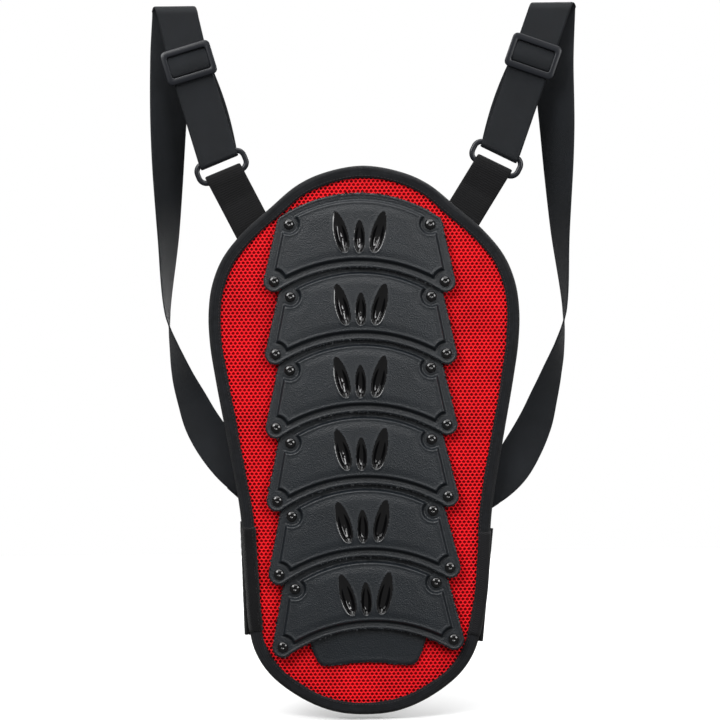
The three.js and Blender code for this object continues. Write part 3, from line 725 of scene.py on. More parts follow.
def lining_piece(name, low, high):
    lo, hi = max(low, -243), min(high, 271)
    spacing = 2.6
    rows = max(2, int(round((hi - lo) / spacing)))
    us = np.arange(-150, 150 + spacing, spacing)
    vs = np.linspace(lo, hi, rows + 1)
    g = np.array(np.meshgrid(us, vs, indexing="ij")).reshape(2, -1).T
    f = distance(g, COARSE_EDGE)
    inside = (f < -4).reshape(len(us), len(vs))
    faces = grid_quads(inside, flip=True)
    a = (g[:, 0] + g[:, 1]) / QUILT_PITCH
    b = (g[:, 0] - g[:, 1]) / QUILT_PITCH
    channel = np.minimum(np.abs(a - np.round(a)), np.abs(b - np.round(b))) * QUILT_PITCH / math.sqrt(2)
    half, foot, top = REST_PANEL
    panel = np.maximum(np.abs(g[:, 0]) - half, np.maximum(g[:, 1] - top, foot - g[:, 1]))
    quilt = -0.45 - 1.1 * np.exp(-(channel / 1.6) ** 2) - 0.5 * np.exp(-(channel / 5.0) ** 2)
    flat = smooth_step(-panel / 1.5)
    border = 1.0 * np.exp(-(panel / 1.6) ** 2)
    y = quilt * (1 - flat) - 0.02 * flat - border * (panel > -1.2)
    y -= 0.9 * np.exp(-np.clip(-f - BINDING_W + 1, 0, None) / 4.0)
    verts = np.column_stack([g[:, 0], y, g[:, 1]])
    weave = np.column_stack([g[:, 0] * MM, g[:, 1] * MM, 0 * y])
    obj = mesh_object(name, verts, faces.tolist(), LINING_MAT, attributes={"weave": weave})
    drop_loose(obj)
    return solidify(obj, 0.8)


def make_pad():
    bend_pieces("mesh_face_cloth", ["mesh_face"], mesh_face_piece)
    lining = bend_pieces("lining_quilt", ["lining"], lining_piece)
    bend_pieces("edge_tape", ["edge_binding"], binding_piece)
    bend_pieces("edge_stitches", [], binding_stitches)
    for name in ("foam_1", "foam_2", "foam_3", "foam_4", "foam_lower"):
        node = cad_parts[name]
        node.data.materials.clear()
        node.data.materials.append(FOAM_MAT)


# ---- plates ------------------------------------------------------------------------
def flange_loop():
    return mirrored([
        *arc(LOWER_ARC, 90, 59.5, 16), *arc(LUG, -139, 12.6, 14), *arc(CORNER, 12.6, 56, 6),
        *arc(TOP_ARC, 60, 90, 16)])


def panel_loop(by=0.0):
    lower = (0, LOWER_ARC[1], LOWER_ARC[2] + 6.6 + by)
    scoop = (*LOWER_RIVET, SCOOP_R + by)
    pocket = (*UPPER_RIVET, 8.7 + by)
    top = (0, TOP_ARC[1], TOP_ARC[2] - 7 - by)
    side = (-923.6 - by, -228, 1020)
    a = crossing(lower, scoop, 1)
    b = crossing(scoop, side, -1)
    c = crossing(pocket, side, 1)
    d = crossing(top, pocket, 1)
    return mirrored([
        *arc(lower, 90, bearing(lower, a), 14), *arc(scoop, bearing(scoop, a), bearing(scoop, b), 8)[1:],
        *arc(pocket, bearing(pocket, c), bearing(pocket, d) - 360, 14),
        *arc(top, bearing(top, d), 90, 14)[1:]])


def claw_frame(p, claw):
    u, v, turn, length, half = claw
    c, s = math.cos(math.radians(turn)), math.sin(math.radians(turn))
    du, dv = p[:, 0] - u, p[:, 1] - v
    return (du * c + dv * s) / half, (-du * s + dv * c) / (length / 2)


def claw_field(p, claw, scale=1.0):
    """Below zero inside the leaf: blunt at the foot, slender at the top."""
    a, b = claw_frame(p, claw)
    a, b = a / scale, b / scale
    t = np.clip((b + 1) / 2, 0, 1)
    peak = CLAW_FOOT / (CLAW_FOOT + CLAW_TIP)
    width = (t / peak) ** CLAW_FOOT * ((1 - t) / (1 - peak)) ** CLAW_TIP
    inside = np.abs(a) - width
    return np.where(np.abs(b) > 1, np.maximum(inside, 4 * (np.abs(b) - 1)), inside)


def plate_field(p):
    f = distance(p, flange_loop())
    for claw in CLAWS:
        u, v, turn, length, half = claw
        drop = 0.16 * length
        a = math.radians(turn)
        low = (u + drop * math.sin(a), v - drop * math.cos(a), turn, length, half)
        f = np.maximum(f, -claw_field(p, low, SLOT_SCALE) * half * SLOT_SCALE)
    return f


def plate_mesh_data():
    grid, faces = relief(plate_field, PLATE_STEP, PLATE_WINDOW)
    inner = -distance(grid, panel_loop())
    rim = -distance(grid, flange_loop())
    rise = PANEL_RISE - FLANGE_T
    out = FLANGE_T + rise * smooth_step((inner + 0.1) / 2.1)
    out += 0.30 * np.exp(-((inner - 2.7) / 0.9) ** 2)
    crown = 1.1 * (1 - (grid[:, 0] / 78) ** 2) * smooth_step(inner / 12)
    out += crown - 0.25 * smooth_step(inner / 6)
    out -= 0.35 * np.exp(-((inner + 0.9) / 0.8) ** 2)
    out += 0.5 * np.exp(-((rim - 1.5) / 0.9) ** 2) * (inner < 0)
    out -= 0.7 * np.clip(1 - rim / 0.9, 0, 1) ** 2
    gloss = np.zeros(len(grid), bool)
    for claw in CLAWS:
        f = claw_field(grid, claw)
        a, b = claw_frame(grid, claw)
        t = np.clip((1 - b) / 2, 0, 1)
        bowl = smooth_step(-f / 0.80)
        floor = 1.8 + 2.4 * smooth_step(t * 1.5)
        facet = 0.8 * np.exp(-((a + 0.12) / 0.16) ** 2) * smooth_step((t - 0.32) * 3) * (t < 0.86)
        lip = 0.55 * np.exp(-((f - 0.12) / 0.12) ** 2) * (0.35 + 0.65 * t)
        out += lip - bowl * (floor - facet)
        gloss |= f < 0.06
    marks = gloss[faces].mean(1) > 0.5
    verts = np.column_stack([grid[:, 0], -out, grid[:, 1]])
    return verts, faces.tolist(), marks.astype(int)


def lathe(profile, steps):
    """profile is (radius, y) pairs that start and end on the axis."""
    verts, faces = [], []
    n = len(profile)
    for k in range(steps):
        a = 2 * math.pi * k / steps
        verts += [(r * math.cos(a), y, r * math.sin(a)) for r, y in profile[1:-1]]
    inner = n - 2
    verts += [(0, profile[0][1], 0), (0, profile[-1][1], 0)]
    first, last = steps * inner, steps * inner + 1
    for k in range(steps):
        m = (k + 1) % steps
        for j in range(inner - 1):
            faces.append((k * inner + j, m * inner + j, m * inner + j + 1, k * inner + j + 1))
        faces.append((first, m * inner, k * inner))
        faces.append((last, k * inner + inner - 1, m * inner + inner - 1))
    return verts, faces


def make_plates():
    verts, faces, marks = plate_mesh_data()
    for i, body in enumerate(ROW_BODIES):
        obj = mesh_object(f"plate_shell_{i + 1}", placed(verts, plate_matrix(i)), faces, PLATE_MAT,
                          extra_materials=[GLOSS_MAT], face_materials=marks)
        solidify(obj, PLATE_WALL)
        declare(obj, body, "moulded_plate", f"plate_{i + 1}")
    for i, name, (u, v), p, reach in RIVETS:
        seat = -FLANGE_T - 0.25
        r, h = RIVET_R, 2.7
        dome = [(0, seat - h + 0.75), (0.9, seat - h + 0.68), (1.5, seat - h + 0.25), (1.95, seat - h + 0.02)]
        dome += [(r * math.sin(a), seat - 0.7 - (h - 0.7) * math.cos(a))
                 for a in np.linspace(0.55, math.pi / 2, 8)]
        washer = reach / math.cos(math.radians(LEAN)) + 2.5
        profile = [*dome, (r, seat - 0.25), (r - 0.25, seat), (2, seat), (2, washer), (3.7, washer),
                   (3.7, washer + 0.8), (0, washer + 0.8)]
        rv, rf = lathe(profile, 28)
        shift = Matrix.Translation((u, 0, v))
        obj = mesh_object(f"{name}_stud", placed(rv, plate_matrix(i) @ shift), rf, RIVET_MAT)
        declare(obj, ROW_BODIES[i], "rivet", name)
        boss = [(0, -1.6), (4.6, -1.6), (4.9, -1.2), (4.9, reach - 0.9), (4.6, reach - 0.6), (0, reach - 0.6)]
        bv, bf = lathe(boss, 24)
        foot = mesh_object(f"{name}_boss", placed(bv, plate_matrix(i) @ shift), bf, PLATE_MAT)
        declare(foot, ROW_BODIES[i], "moulded_plate")
    loop = spaced(mirrored(TAIL_HALF), 160, closed=True)
    grid, quads = relief(lambda p: distance(p, loop), TAIL_STEP, TAIL_WINDOW)
    rim = -distance(grid, loop)
    y = MESH_FRONT - 0.3 - 1.9 + 0.9 * np.clip(1 - rim / 1.6, 0, 1) ** 2
    y -= 0.25 * np.exp(-((rim - 3.4) / 1.1) ** 2)
    tail = mesh_object("tail_flap", np.column_stack([grid[:, 0], y, grid[:, 1]]), quads.tolist(), PLATE_MAT)
    solidify(tail, TAIL_WALL)
    declare(tail, "lower_back", "moulded_plate", "tail_plate")


# ---- straps ---------------------------------------------------------------------------
def ribbon_frames(centres, widths):
    """Tangent, width direction and face normal at each station; widths may be skewed."""
    c = np.asarray(centres, float)
    t = np.gradient(c, axis=0)
    t /= np.linalg.norm(t, axis=1, keepdims=True)
    w = np.asarray(widths, float)
    w = w / np.linalg.norm(w, axis=1, keepdims=True)
    square = np.linalg.norm(w - (w * t).sum(1, keepdims=True) * t, axis=1, keepdims=True)
    n = np.cross(t, w)
    n /= np.linalg.norm(n, axis=1, keepdims=True)
    run = np.concatenate([[0], np.cumsum(np.linalg.norm(np.diff(c, axis=0), axis=1))])
    return c, w / np.maximum(square, 0.75), n, run


SECTION_SIDE = ((-0.5, 0), (-0.485, 0.75), (-0.45, 1), (-0.3, 1), (-0.15, 1), (0, 1), (0.15, 1), (0.3, 1),
                (0.45, 1), (0.485, 0.75), (0.5, 0))


def strip(frames, width, thickness, ribs=0.0, rib_pitch=2.0, caps=(True, True)):
    """Webbing along the stations, with a softly rounded edge. ribs raises cross ribs."""
    c, w, n, run = frames
    section = [*SECTION_SIDE, *((a, -k) for a, k in reversed(SECTION_SIDE[1:-1]))]
    m = len(section)
    rib = ribs * (0.5 + 0.5 * np.cos(2 * math.pi * run / rib_pitch))
    verts, weave = [], []
    for a, k in section:
        swell = rib * (1 if abs(k) == 1 else 0) * np.sign(k)
        verts.append(c + w * (a * width) + n * (thickness / 2 * k + swell)[:, None])
        weave.append(np.column_stack([np.full(len(c), a * width * MM), run * MM, np.zeros(len(c))]))
    verts = np.stack(verts, 1).reshape(-1, 3)
    weave = np.stack(weave, 1).reshape(-1, 3)
    faces = []
    for i in range(len(c) - 1):
        for j in range(m):
            k = (j + 1) % m
            faces.append((i * m + j, i * m + k, (i + 1) * m + k, (i + 1) * m + j))
    if caps[0]:
        faces.append(tuple(reversed(range(m))))
    if caps[1]:
        faces.append(tuple((len(c) - 1) * m + j for j in range(m)))
    return verts, faces, weave


def strip_object(name, data, mat, mirror):
    verts, faces, weave = data
    verts = np.array(verts)
    if mirror:
        verts[:, 0] *= -1
        faces = [tuple(reversed(f)) for f in faces]
    return mesh_object(name, verts, faces, mat, attributes={"weave": weave})


def turned(x, z, lean):
    return Matrix.Translation((x, 0, z)) @ Matrix.Rotation(-math.radians(lean), 4, "Y")


def up_of(lean):
    a = math.radians(lean)
    return np.array([-math.sin(a), 0, math.cos(a)]), np.array([math.cos(a), 0, math.sin(a)])


def step_along(start, lean, d):
    up, _ = up_of(lean)
    return start[0] + up[0] * d, start[1] + up[2] * d


def fit_side(side):
    """The places that follow from one side's ring, slider and strap."""
    lower = step_along(side["ring_at"], side["ring_turn"], -RING_SHORT / 2)
    upper = step_along(side["ring_at"], side["ring_turn"], RING_SHORT / 2)
    slider = step_along(upper, side["strap_turn"], SLIDER_RISE)
    return {**side, "lower_bar": lower, "upper_bar": upper, "slider_at": slider}


WRAP = 3.5
WRAP_DROP = 1.4
LEVEL = np.array([1.0, 0, 0])


def strap_path(side):
    """Stations from the ring, up the front, over the level top fold and down behind the pad."""
    ring_up, ring_across = up_of(side["ring_turn"])
    up, across = up_of(side["strap_turn"])
    x, z = side["upper_bar"]
    start = np.array([x, RING_Y, z])
    pts, ws = [], []
    for a in np.radians(np.linspace(0, -180, 13)):
        p = start + ring_up * (WRAP * math.sin(a) - WRAP_DROP)
        p[1] += WRAP * math.cos(a)
        pts.append(p)
        ws.append(ring_across)
    run = (STRAP_TOP - FOLD_R - WEB_T / 2 - z) / math.cos(math.radians(side["strap_turn"]))
    for d in np.linspace(3, run, 60):
        p = start + up * d
        p[0] += side["top_bend"] * max(0, d - SLIDER_RISE)
        p[1] = RING_Y - WRAP + 0.25 * math.sin(d / 17)
        w = ring_across + (across - ring_across) * smooth_step(d / 24)
        pts.append(p)
        ws.append(w + (LEVEL - w) * smooth_step((d - run + 34) / 30))
    fold = pts[-1]
    slip = math.tan(math.radians(side["strap_turn"])) * FOLD_R
    for a in np.radians(np.linspace(10, 150, 15)):
        pts.append(fold + (-slip * a, FOLD_R - FOLD_R * math.cos(a), FOLD_R * math.sin(a)))
        ws.append(LEVEL)
    per = 14
    knots = [pts[-1]] + [np.array(r[:3], float) for r in side["rear"]]
    turns = [0] + [r[3] for r in side["rear"]]
    line = catmull(knots, per)
    angle = np.interp(np.arange(len(line)) / per, np.arange(len(turns)), turns)
    angle = np.convolve(np.pad(angle, 6, mode="edge"), np.ones(13) / 13, mode="valid")
    tangent = np.gradient(line, axis=0)
    for k in range(1, len(line)):
        t = tangent[k] / np.linalg.norm(tangent[k])
        s = np.cross((0, 1, 0), t)
        s /= np.linalg.norm(s)
        if s[0] > 0:
            s = -s
        q = Matrix.Rotation(-math.radians(angle[k]), 3, Vector(t))
        w = np.array(q @ Vector(-s))
        pts.append(line[k])
        ws.append(LEVEL + (w - LEVEL) * smooth_step(k / 16))
    return np.array(pts), np.array(ws)


def tab_centres():
    """Hairpin centre line of the tab in its own frame: (s, n) pairs."""
    end = TAB_LENGTH
    r = 3.2
    line = [(-TAB_HIDDEN, -0.85), (0, -0.85), (end - 22, -0.85), (end - 12, -1.8), (end - 5, -r)]
    line += [(end + 1.8 + r * math.sin(a), -r * math.cos(a)) for a in np.radians(np.linspace(10, 170, 9))]
    line += [(end - 5, r), (end - 12, 1.8), (end - 22, 0.85), (0, 0.85), (-TAB_HIDDEN, 0.85)]
    return spaced(catmull(line, 10), 420)


def make_tab(name, side, mirror):
    line = tab_centres()
    m = turned(*side["lower_bar"], side["tab_turn"])
    wave = 0.5 * np.sin(line[:, 0] / 5.1) * smooth_step((line[:, 0] - TAB_LENGTH + 34) / 10)
    wave *= smooth_step((TAB_LENGTH - 4 - line[:, 0]) / 8)
    pts = np.array([m @ Vector((0, RING_Y + n - w, s - TAB_LENGTH + 0.8)) for (s, n), w in zip(line, wave)])
    _, across = up_of(side["tab_turn"])
    _, ring_across = up_of(side["ring_turn"])
    f = smooth_step((line[:, 0] - TAB_LENGTH + 26) / 22)[:, None]
    data = strip(ribbon_frames(pts, across + (ring_across - across) * f), WEB_W - 2, 1.1,
                 ribs=0.32, rib_pitch=2.1)
    obj = strip_object(f"{name}_tab_webbing", data, TAB_MAT, mirror)
    declare(obj, f"{name}_anchor", "webbing", f"{name}_tab")


def tube_loop(path, radius, flatten=1.0, steps=14):
    """Closed rod round a loop in the XZ plane."""
    n = len(path)
    t = np.roll(path, -1, axis=0) - np.roll(path, 1, axis=0)
    t /= np.linalg.norm(t, axis=1, keepdims=True)
    normal = np.column_stack([-t[:, 1], t[:, 0]])
    verts, faces = [], []
    for i in range(n):
        for k in range(steps):
            a = 2 * math.pi * k / steps
            ca, sa = math.cos(a), math.sin(a)
            ca = math.copysign(abs(ca) ** 0.75, ca)
            sa = math.copysign(abs(sa) ** 0.75, sa)
            p = path[i] + normal[i] * radius * ca
            verts.append((p[0], radius * flatten * sa, p[1]))
    for i in range(n):
        for k in range(steps):
            a, b = i * steps + k, i * steps + (k + 1) % steps
            c, d = ((i + 1) % n) * steps + (k + 1) % steps, ((i + 1) % n) * steps + k
            faces.append((a, b, c, d))
    return np.array(verts), faces


def rounded_rect(half_w, half_h, r, per=8):
    pts = []
    for cx, cz, a0 in ((half_w - r, half_h - r, 0), (r - half_w, half_h - r, 90),
                       (r - half_w, r - half_h, 180), (half_w - r, r - half_h, 270)):
        for a in np.linspace(a0, a0 + 90, per):
            pts.append((cx + r * math.cos(math.radians(a)), cz + r * math.sin(math.radians(a))))
    return np.array(pts)


def rigid(name, verts, faces, mat, matrix, mirror, body, slot_name, replaced=()):
    v = placed(verts, matrix)
    if mirror:
        v[:, 0] *= -1
        faces = [tuple(reversed(f)) for f in faces]
    return declare(mesh_object(name, v, faces, mat), body, slot_name, *replaced)


def make_ring(name, side, mirror):
    path = spaced(rounded_rect(RING_LONG / 2, RING_SHORT / 2, 7.5, 12), 120, closed=True)
    verts, faces = tube_loop(path, 2.6, 0.92)
    verts[:, 1] += RING_Y
    place = turned(*side["ring_at"], side["ring_turn"])
    rigid(f"{name}_square_ring", verts, faces, BUCKLE_MAT, place, mirror, f"{name}_shoulder",
          "buckle_plastic", [f"{name}_ring"])


def frame_section(inner_w, inner_h, outer_w, outer_h, y0, y1):
    """Rounded window frame with softly bevelled edges, as stacked loops."""
    def loop(w, h, r):
        return rounded_rect(w, h, r, 10)
    b = 0.8
    levels = [
        (loop(outer_w - b, outer_h - b, 4.2), y0), (loop(outer_w - 0.2, outer_h - 0.2, 4.9), y0 + 0.25),
        (loop(outer_w, outer_h, 5), y0 + b), (loop(outer_w, outer_h, 5), y1 - b),
        (loop(outer_w - b, outer_h - b, 4.2), y1), (loop(inner_w + b, inner_h + b, 3.0), y1),
        (loop(inner_w, inner_h, 2.2), y1 - b), (loop(inner_w, inner_h, 2.2), y0 + b),
        (loop(inner_w + 0.2, inner_h + 0.2, 2.3), y0 + 0.25), (loop(inner_w + b, inner_h + b, 3.0), y0),
    ]
    n = len(levels[0][0])
    verts, faces = [], []
    for pts, y in levels:
        verts += [(x, y, z) for x, z in pts]
    count = len(levels)
    for k in range(count):
        for i in range(n):
            a, b2 = k * n + i, k * n + (i + 1) % n
            c, d = ((k + 1) % count) * n + (i + 1) % n, ((k + 1) % count) * n + i
            faces.append((a, b2, c, d))
    return np.array(verts), faces


def make_slider(name, side, mirror):
    front = RING_Y - WRAP - WEB_T / 2 - 0.3
    bar_y = front + 0.6 + WEB_T + 0.3 + WEB_T + 1.7
    place = turned(*side["slider_at"], side["strap_turn"])
    body = f"{name}_adjuster"
    verts, faces = frame_section(SLIDER_HALF, 10.4, 24.3, 16.5, front - 3, front)
    verts[:, 1] -= 0.4 * (1 - (verts[:, 2] / 16.5) ** 2)
    rigid(f"{name}_slider_frame", verts, faces, BUCKLE_MAT, place, mirror, body, "buckle_plastic",
          [f"{name}_slider"])
    for s, tag in ((-1, "a"), (1, "b")):
        post, pf = prism(rounded_rect(2.05, 3.0, 1.0, 5) + (s * 21.45, 0), front - 1.5, bar_y + 1.7)
        rigid(f"{name}_slider_post_{tag}", post, pf, BUCKLE_MAT, place, mirror, body, "buckle_plastic")
    profile = [(0, -22.3), (1.3, -22.3), (1.6, -22), (1.6, 22), (1.3, 22.3), (0, 22.3)]
    bv, bf = lathe(profile, 20)
    bv = np.array(bv)[:, [1, 0, 2]]
    bv[:, 1] += bar_y
    rigid(f"{name}_slider_bar", bv, bf, BUCKLE_MAT, place, mirror, body, "buckle_plastic")
    _, across = up_of(side["strap_turn"])
    # webbing that rides up over the middle of the slider's window
    hump = [(front - 0.05 - 2.5 * max(0.0, math.cos(z / 9.5 * math.pi / 2)) ** 0.55, z)
            for z in np.linspace(-9.5, 9.5, 41)]
    r = 1.6 + 0.3 + WEB_T / 2
    ring = [(bar_y + r * math.cos(a), r * math.sin(a)) for a in np.radians(np.linspace(-168, 168, 40))]
    layers = (("strap_hump", hump, HUMP_W, 0.9, ()),
              ("sewn_sleeve", ring, WEB_W, WEB_T - 0.1, (f"{name}_sleeve",)))
    for tag, line, width, thickness, replaced in layers:
        pts = np.array([place @ Vector((0, y, z)) for y, z in line])
        frames = ribbon_frames(pts, np.tile(across, (len(pts), 1)))
        obj = strip_object(f"{name}_{tag}", strip(frames, width, thickness), WEB_MAT, mirror)
        declare(obj, body, "webbing", *replaced)


def prism(loop, y0, y1):
    n = len(loop)
    verts = [(x, y0, z) for x, z in loop] + [(x, y1, z) for x, z in loop]
    faces = [(i, (i + 1) % n, (i + 1) % n + n, i + n) for i in range(n)]
    faces += [tuple(reversed(range(n))), tuple(range(n, 2 * n))]
    return np.array(verts), faces


def make_strap(name, side, mirror):
    pts, ws = strap_path(side)
    frames = ribbon_frames(pts, ws)
    shoulder, anchor_body = f"{name}_shoulder", f"{name}_anchor"
    split = next(i for i in range(80, len(pts)) if pts[i, 2] < REAR_SPLIT)
    parts = (("upper", 0, split + 1, (True, False)), ("lower", split, len(pts), (False, True)))
    for tag, a, b, caps in parts:
        part = [f[a:b] for f in frames]
        obj = strip_object(f"{name}_strap_{tag}", strip(part, WEB_W, WEB_T, caps=caps), WEB_MAT, mirror)
        if tag == "upper":
            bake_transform(obj)
            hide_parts(f"{name}_strap")
        else:
            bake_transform(obj)
            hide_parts(f"{name}_rear_strap")
    up, across = up_of(side["strap_turn"])
    _, ring_across = up_of(side["ring_turn"])
    x, z = side["upper_bar"]
    base = np.array([x, RING_Y + WRAP, z])
    ds = np.linspace(-1.0, SLIDER_RISE - 3.4, 60)
    line = np.array([base + up * d for d in ds])
    arch = np.sin(np.linspace(0, math.pi, 60))
    line[:, 1] += 1.2 * arch
    line += across * 3.0 * arch[:, None]
    widths = ring_across + (across - ring_across) * smooth_step(ds / 24)[:, None]
    data = strip(ribbon_frames(line, widths), WEB_W, WEB_T)
    back = strip_object(f"{name}_return_layer", data, WEB_MAT, mirror)
    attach(back, shoulder)
    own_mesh(back)
    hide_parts(f"{name}_return")
    make_anchor_patch(name, side, mirror)


def make_anchor_patch(name, side, mirror):
    """Short strip sewn over the rear strap's end, behind the pad's side."""
    verts, faces = prism(rounded_rect(10, 20, 2, 6), 3.5, 4.6)
    (x0, _, z0, _), (x1, _, z1, _) = side["rear"][-2:]
    lean = math.degrees(math.atan2(z0 - z1, x1 - x0))
    place = Matrix.Translation((x1 - 1, 0, z1 + 1)) @ Matrix.Rotation(math.radians(lean), 4, "Y")
    obj = rigid(f"{name}_anchor_patch", verts, faces, BINDING_MAT, place, mirror, "mid_back", "webbing")
    layer = obj.data.attributes.new("weave", "FLOAT_VECTOR", "POINT")
    co = np.array([v.co for v in obj.data.vertices])
    layer.data.foreach_set("vector", co[:, [0, 2, 1]].astype(np.float32).ravel())
    points, tangents = [], []
    for x0, z0, x1, z1 in ((-8, -17, 8, -17), (8, -17, 8, 17), (8, 17, -8, 17), (-8, 17, -8, -17),
                           (-8, -17, 8, 17), (-8, 17, 8, -17)):
        n = max(4, int(math.hypot(x1 - x0, z1 - z0) / 3))
        for k in range(n):
            s = (k + 0.5) / n
            points.append(place @ Vector((x0 + (x1 - x0) * s, 4.65, z0 + (z1 - z0) * s)))
            tangents.append(place.to_3x3() @ Vector((x1 - x0, 0, z1 - z0)))
    v, f = stitch_mesh(points, tangents, 2.1, 0.35, 1)
    rigid(f"{name}_anchor_stitches", v, f, THREAD_MAT, Matrix.Identity(4), mirror, "mid_back", "webbing")


# ---- belt ----------------------------------------------------------------------------------
def band(x0, x1, y, thickness, height, rows=40, ribs=0.0, rough=0.0):
    """Flat band lying behind the pad, from x0 to x1, drawn level."""
    cols = max(2, int(abs(x1 - x0) / 2.2))
    xs = np.linspace(x0, x1, cols + 1)
    zs = np.linspace(-height / 2, height / 2, rows + 1)
    g = np.array(np.meshgrid(xs, zs, indexing="ij")).reshape(2, -1).T
    idx = np.arange(len(g)).reshape(cols + 1, rows + 1)
    quads = np.stack([idx[:-1, :-1], idx[:-1, 1:], idx[1:, 1:], idx[1:, :-1]], -1).reshape(-1, 4)
    if x1 < x0:
        quads = quads[:, ::-1]
    edge = np.clip((height / 2 - np.abs(g[:, 1])) / 2.0, 0, 1)
    puff = 0.25 * np.sin(g[:, 0] / 9.0) * np.sin(g[:, 1] / 13.0) * edge
    rib = ribs * np.cos(2 * math.pi * g[:, 1] / 5.35)
    fuzz = rough * rng.standard_normal(len(g)) * 0.5
    yy = np.full(len(g), y + thickness / 2) - 0.3 * (1 - edge) + np.minimum(puff * 0.4 + rib + fuzz, 0.3)
    verts = np.column_stack([g[:, 0], yy, g[:, 1]])
    weave = np.column_stack([g[:, 0] * MM, g[:, 1] * MM, 0 * yy])
    return verts, quads.tolist(), weave


def belt_place():
    return Matrix.Translation((0, 0, BELT_Z)) @ Matrix.Rotation(math.radians(BELT_TURN), 4, "Y")


def belt_tapered(verts):
    """Band verts drawn in towards the lower edge, each side by its own amount."""
    v = np.array(verts, float)
    top, foot = np.where(v[:, 0, None] < 0, BELT_TAPER[0], BELT_TAPER[1]).T
    up = 0.5 + v[:, 2] / BELT_H
    v[:, 0] *= 1 + (foot + (top - foot) * up) / BELT_HALF
    return v


def belt_object(name, data, mat, thickness, replaced=(), body=None, slot_name="belt_elastic"):
    verts, faces, weave = data
    verts = placed(belt_tapered(verts), belt_place())
    obj = mesh_object(name, verts, faces, mat, attributes={"weave": weave})
    solidify(obj, thickness - 0.3, -1.0)
    return declare(obj, body, slot_name, *replaced)


def fold_strip(name, x, y, r, side, mat, rough=0.0):
    """Half-round fold of the band at x, bulging towards side."""
    angles = np.radians(np.linspace(-90, 90, 13))
    rows = 44
    zs = np.linspace(-BELT_H / 2, BELT_H / 2, rows + 1)
    verts, weave = [], []
    for k, t in enumerate(angles):
        for z in zs:
            wob = rough * random.uniform(-0.5, 0.5)
            verts.append((x + side * (0.2 + (r + wob) * math.cos(t)), y + r * math.sin(t), z))
            weave.append((k * 0.9 * MM, z * MM, 0))
    faces = []
    for k in range(len(angles) - 1):
        for j in range(rows):
            a0 = k * (rows + 1) + j
            quad = (a0, a0 + 1, a0 + rows + 2, a0 + rows + 1)
            faces.append(quad if side > 0 else tuple(reversed(quad)))
    verts = placed(belt_tapered(verts), belt_place())
    obj = mesh_object(name, verts, faces, mat, attributes={"weave": weave})
    solidify(obj, 1.4, -1.0)
    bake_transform(obj)
    return obj


def make_belt():
    lo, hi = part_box("belt_base")
    base_y = lo[1] / MM
    base_t = (hi[1] - lo[1]) / MM
    wing_t = (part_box("left_wing")[1][1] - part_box("left_wing")[0][1]) / MM
    inner_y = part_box("left_wing")[0][1] / MM
    outer_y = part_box("left_wing_end")[0][1] / MM
    belt_object("belt_back_band", band(-BELT_HALF, BELT_HALF, base_y + base_t / 2, base_t, BELT_H,
                                       ribs=BELT_RIBS), ELASTIC_MAT, base_t, ["belt_base"],
                "lower_back")
    for name, g in (("left", -1), ("right", 1)):
        mat, slot_name = BELT_FABRICS[name]
        rough = PILE_ROUGH if name == "left" else 0.0
        ribs = 0.0 if name == "left" else BELT_RIBS
        near, far = g * BELT_HALF, g * (BELT_HALF - WING_INNER)
        end = far + g * WING_OUTER
        x0, x1 = sorted((near, far))
        belt_object(f"{name}_belt_wing", band(x0, x1, inner_y + wing_t / 2, wing_t, BELT_H,
                                              ribs=ribs, rough=rough), mat, wing_t, [f"{name}_wing"],
                    f"{name}_belt", slot_name)
        x0, x1 = sorted((far, end))
        belt_object(f"{name}_belt_tail", band(x0, x1, outer_y + wing_t / 2, wing_t, BELT_H,
                                              ribs=ribs, rough=rough), mat, wing_t,
                    [f"{name}_wing_end"], f"{name}_belt_end", slot_name)
        fold_y = (base_y + base_t / 2 + inner_y + wing_t / 2) / 2
        fold_r = (inner_y + wing_t / 2 - base_y - base_t / 2) / 2 + wing_t / 2
        fold_strip(f"{name}_belt_fold_loop", near, fold_y, fold_r, g, mat,
                   rough)
        tip_y = (inner_y + outer_y + wing_t) / 2
        tip_r = (outer_y - inner_y) / 2 + wing_t / 2
        fold_strip(f"{name}_belt_tip_loop", far, tip_y, tip_r, -g, mat,
                   rough)
    for name, g, low, high, reach, fray in BELT_WRAPS:
        mat, slot_name = BELT_FABRICS[name]
        edge_wrap(f"{name}_belt_edge_wrap", g, low, high, reach, mat, slot_name, fray)
    make_hooks()


def make_hooks():
    """Hook patch: a thin carrier with rows of small hooks."""
    lo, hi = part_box("hook_patch")
    y = lo[1] / MM
    m = belt_place()
    loop = rounded_rect(25, 45, 3, 6) + (83, 0)
    verts, faces = prism(loop, y, y + 0.5)
    verts, faces = list(map(tuple, verts)), list(faces)
    for x in np.arange(60, 107, 1.9):
        for z in np.arange(-43, 43.5, 1.9):
            base = len(verts)
            jitter = random.uniform(-0.15, 0.15)
            for dx, dy, w in ((0, 0.45, 0.32), (0.05, 0.95, 0.22), (0.5, 1.2, 0.16)):
                for k in range(4):
                    a = math.pi / 2 * k + 0.4
                    verts.append((x + dx + w * math.cos(a) + jitter, y + dy, z + w * math.sin(a)))
            for r in range(2):
                for k in range(4):
                    a0, b0 = base + 4 * r + k, base + 4 * r + (k + 1) % 4
                    faces.append((a0, b0, b0 + 4, a0 + 4))
            faces.append((base + 8, base + 9, base + 10, base + 11))
    obj = mesh_object("hook_field", placed(verts, m), faces, PILE_MAT, smooth=False)
    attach(obj, "right_belt_end")
    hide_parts("hook_patch")


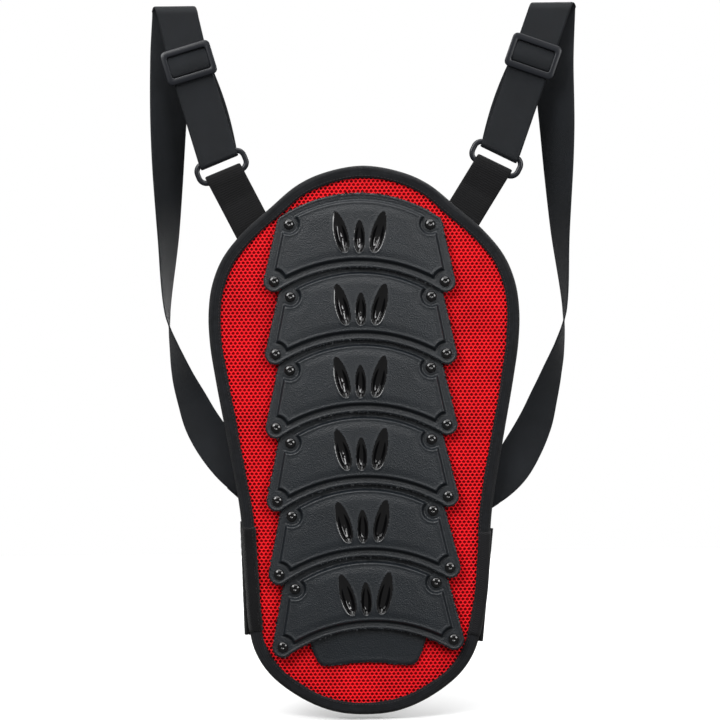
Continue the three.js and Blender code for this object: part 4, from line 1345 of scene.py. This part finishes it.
# ---- stage ---------------------------------------------------------------------------------
VIEW_WIDTH = 0.6768
VIEW_CENTRE = (-0.0042, 0.0893)
LENS = 100
ROLL = 0.63
SURROUND_LIGHT = 0.16
FLOOR_HALF = 1.6
FLOOR_DROP = 0.004
SKY_STRENGTH = 2.9
SKY_ANGLE = 70
LAMPS = [
    ("key", (-1.1, -1.5, 1.3), 1.0, 27), ("fill", (1.3, -1.6, 0.7), 0.8, 15),
    ("back", (0.6, 1.7, 1.1), 1.2, 24),
]


def make_stage():
    lo, _ = CAD_BOX
    half = FLOOR_HALF
    z = lo[2] - FLOOR_DROP
    mesh = bpy.data.meshes.new("floor")
    corners = [(-half, -half, z), (half, -half, z), (half, half, z), (-half, half, z)]
    mesh.from_pydata(corners, [], [(0, 1, 2, 3)])
    floor = bpy.data.objects.new("floor", mesh)
    bpy.context.scene.collection.objects.link(floor)
    pale = bpy.data.materials.new("floor_pale")
    pale.use_nodes = True
    pale.node_tree.nodes["Principled BSDF"].inputs["Base Color"].default_value = (0.9, 0.9, 0.9, 1)
    pale.node_tree.nodes["Principled BSDF"].inputs["Roughness"].default_value = 0.9
    mesh.materials.append(pale)
    floor.visible_diffuse = False
    floor.visible_glossy = False
    world = bpy.data.worlds.new("studio")
    bpy.context.scene.world = world
    world.use_nodes = True
    nodes, links = world.node_tree.nodes, world.node_tree.links
    path = nodes.new("ShaderNodeLightPath")
    strength = nodes.new("ShaderNodeMapRange")
    strength.inputs["To Min"].default_value = SURROUND_LIGHT
    strength.inputs["To Max"].default_value = 1.0
    links.new(path.outputs["Is Camera Ray"], strength.inputs["Value"])
    nodes["Background"].inputs["Color"].default_value = (1, 1, 1, 1)
    links.new(strength.outputs["Result"], nodes["Background"].inputs["Strength"])
    for name, place, size, power in LAMPS:
        lamp = bpy.data.lights.new(name, "AREA")
        lamp.size = size
        lamp.energy = power
        obj = bpy.data.objects.new(name, lamp)
        obj.location = place
        obj.rotation_euler = (Vector((0, 0, 0.08)) - Vector(place)).to_track_quat("-Z", "Y").to_euler()
        bpy.context.scene.collection.objects.link(obj)
    sky = bpy.data.lights.new("sky", "SUN")
    sky.energy = SKY_STRENGTH
    sky.angle = math.radians(SKY_ANGLE)
    obj = bpy.data.objects.new("sky", sky)
    obj.rotation_euler = (math.radians(14), 0, 0)
    bpy.context.scene.collection.objects.link(obj)
    camera = bpy.data.cameras.new("camera")
    camera.lens = LENS
    camera.sensor_width = 36
    away = VIEW_WIDTH * LENS / 36
    cam = bpy.data.objects.new("camera", camera)
    cam.matrix_world = (Matrix.Translation((VIEW_CENTRE[0], -away - 0.012, VIEW_CENTRE[1]))
                        @ Matrix.Rotation(math.pi / 2, 4, "X") @ Matrix.Rotation(-math.radians(ROLL), 4, "Z"))
    bpy.context.scene.collection.objects.link(cam)
    bpy.context.scene.camera = cam
    bpy.context.scene.view_settings.view_transform = "Standard"


make_stage()
make_pad()
make_plates()
for side_name, is_mirrored in (("left", False), ("right", True)):
    fitted = fit_side(SIDES[side_name])
    make_tab(side_name, fitted, is_mirrored)
    make_ring(side_name, fitted, is_mirrored)
    make_slider(side_name, fitted, is_mirrored)
    make_strap(side_name, fitted, is_mirrored)
make_belt()
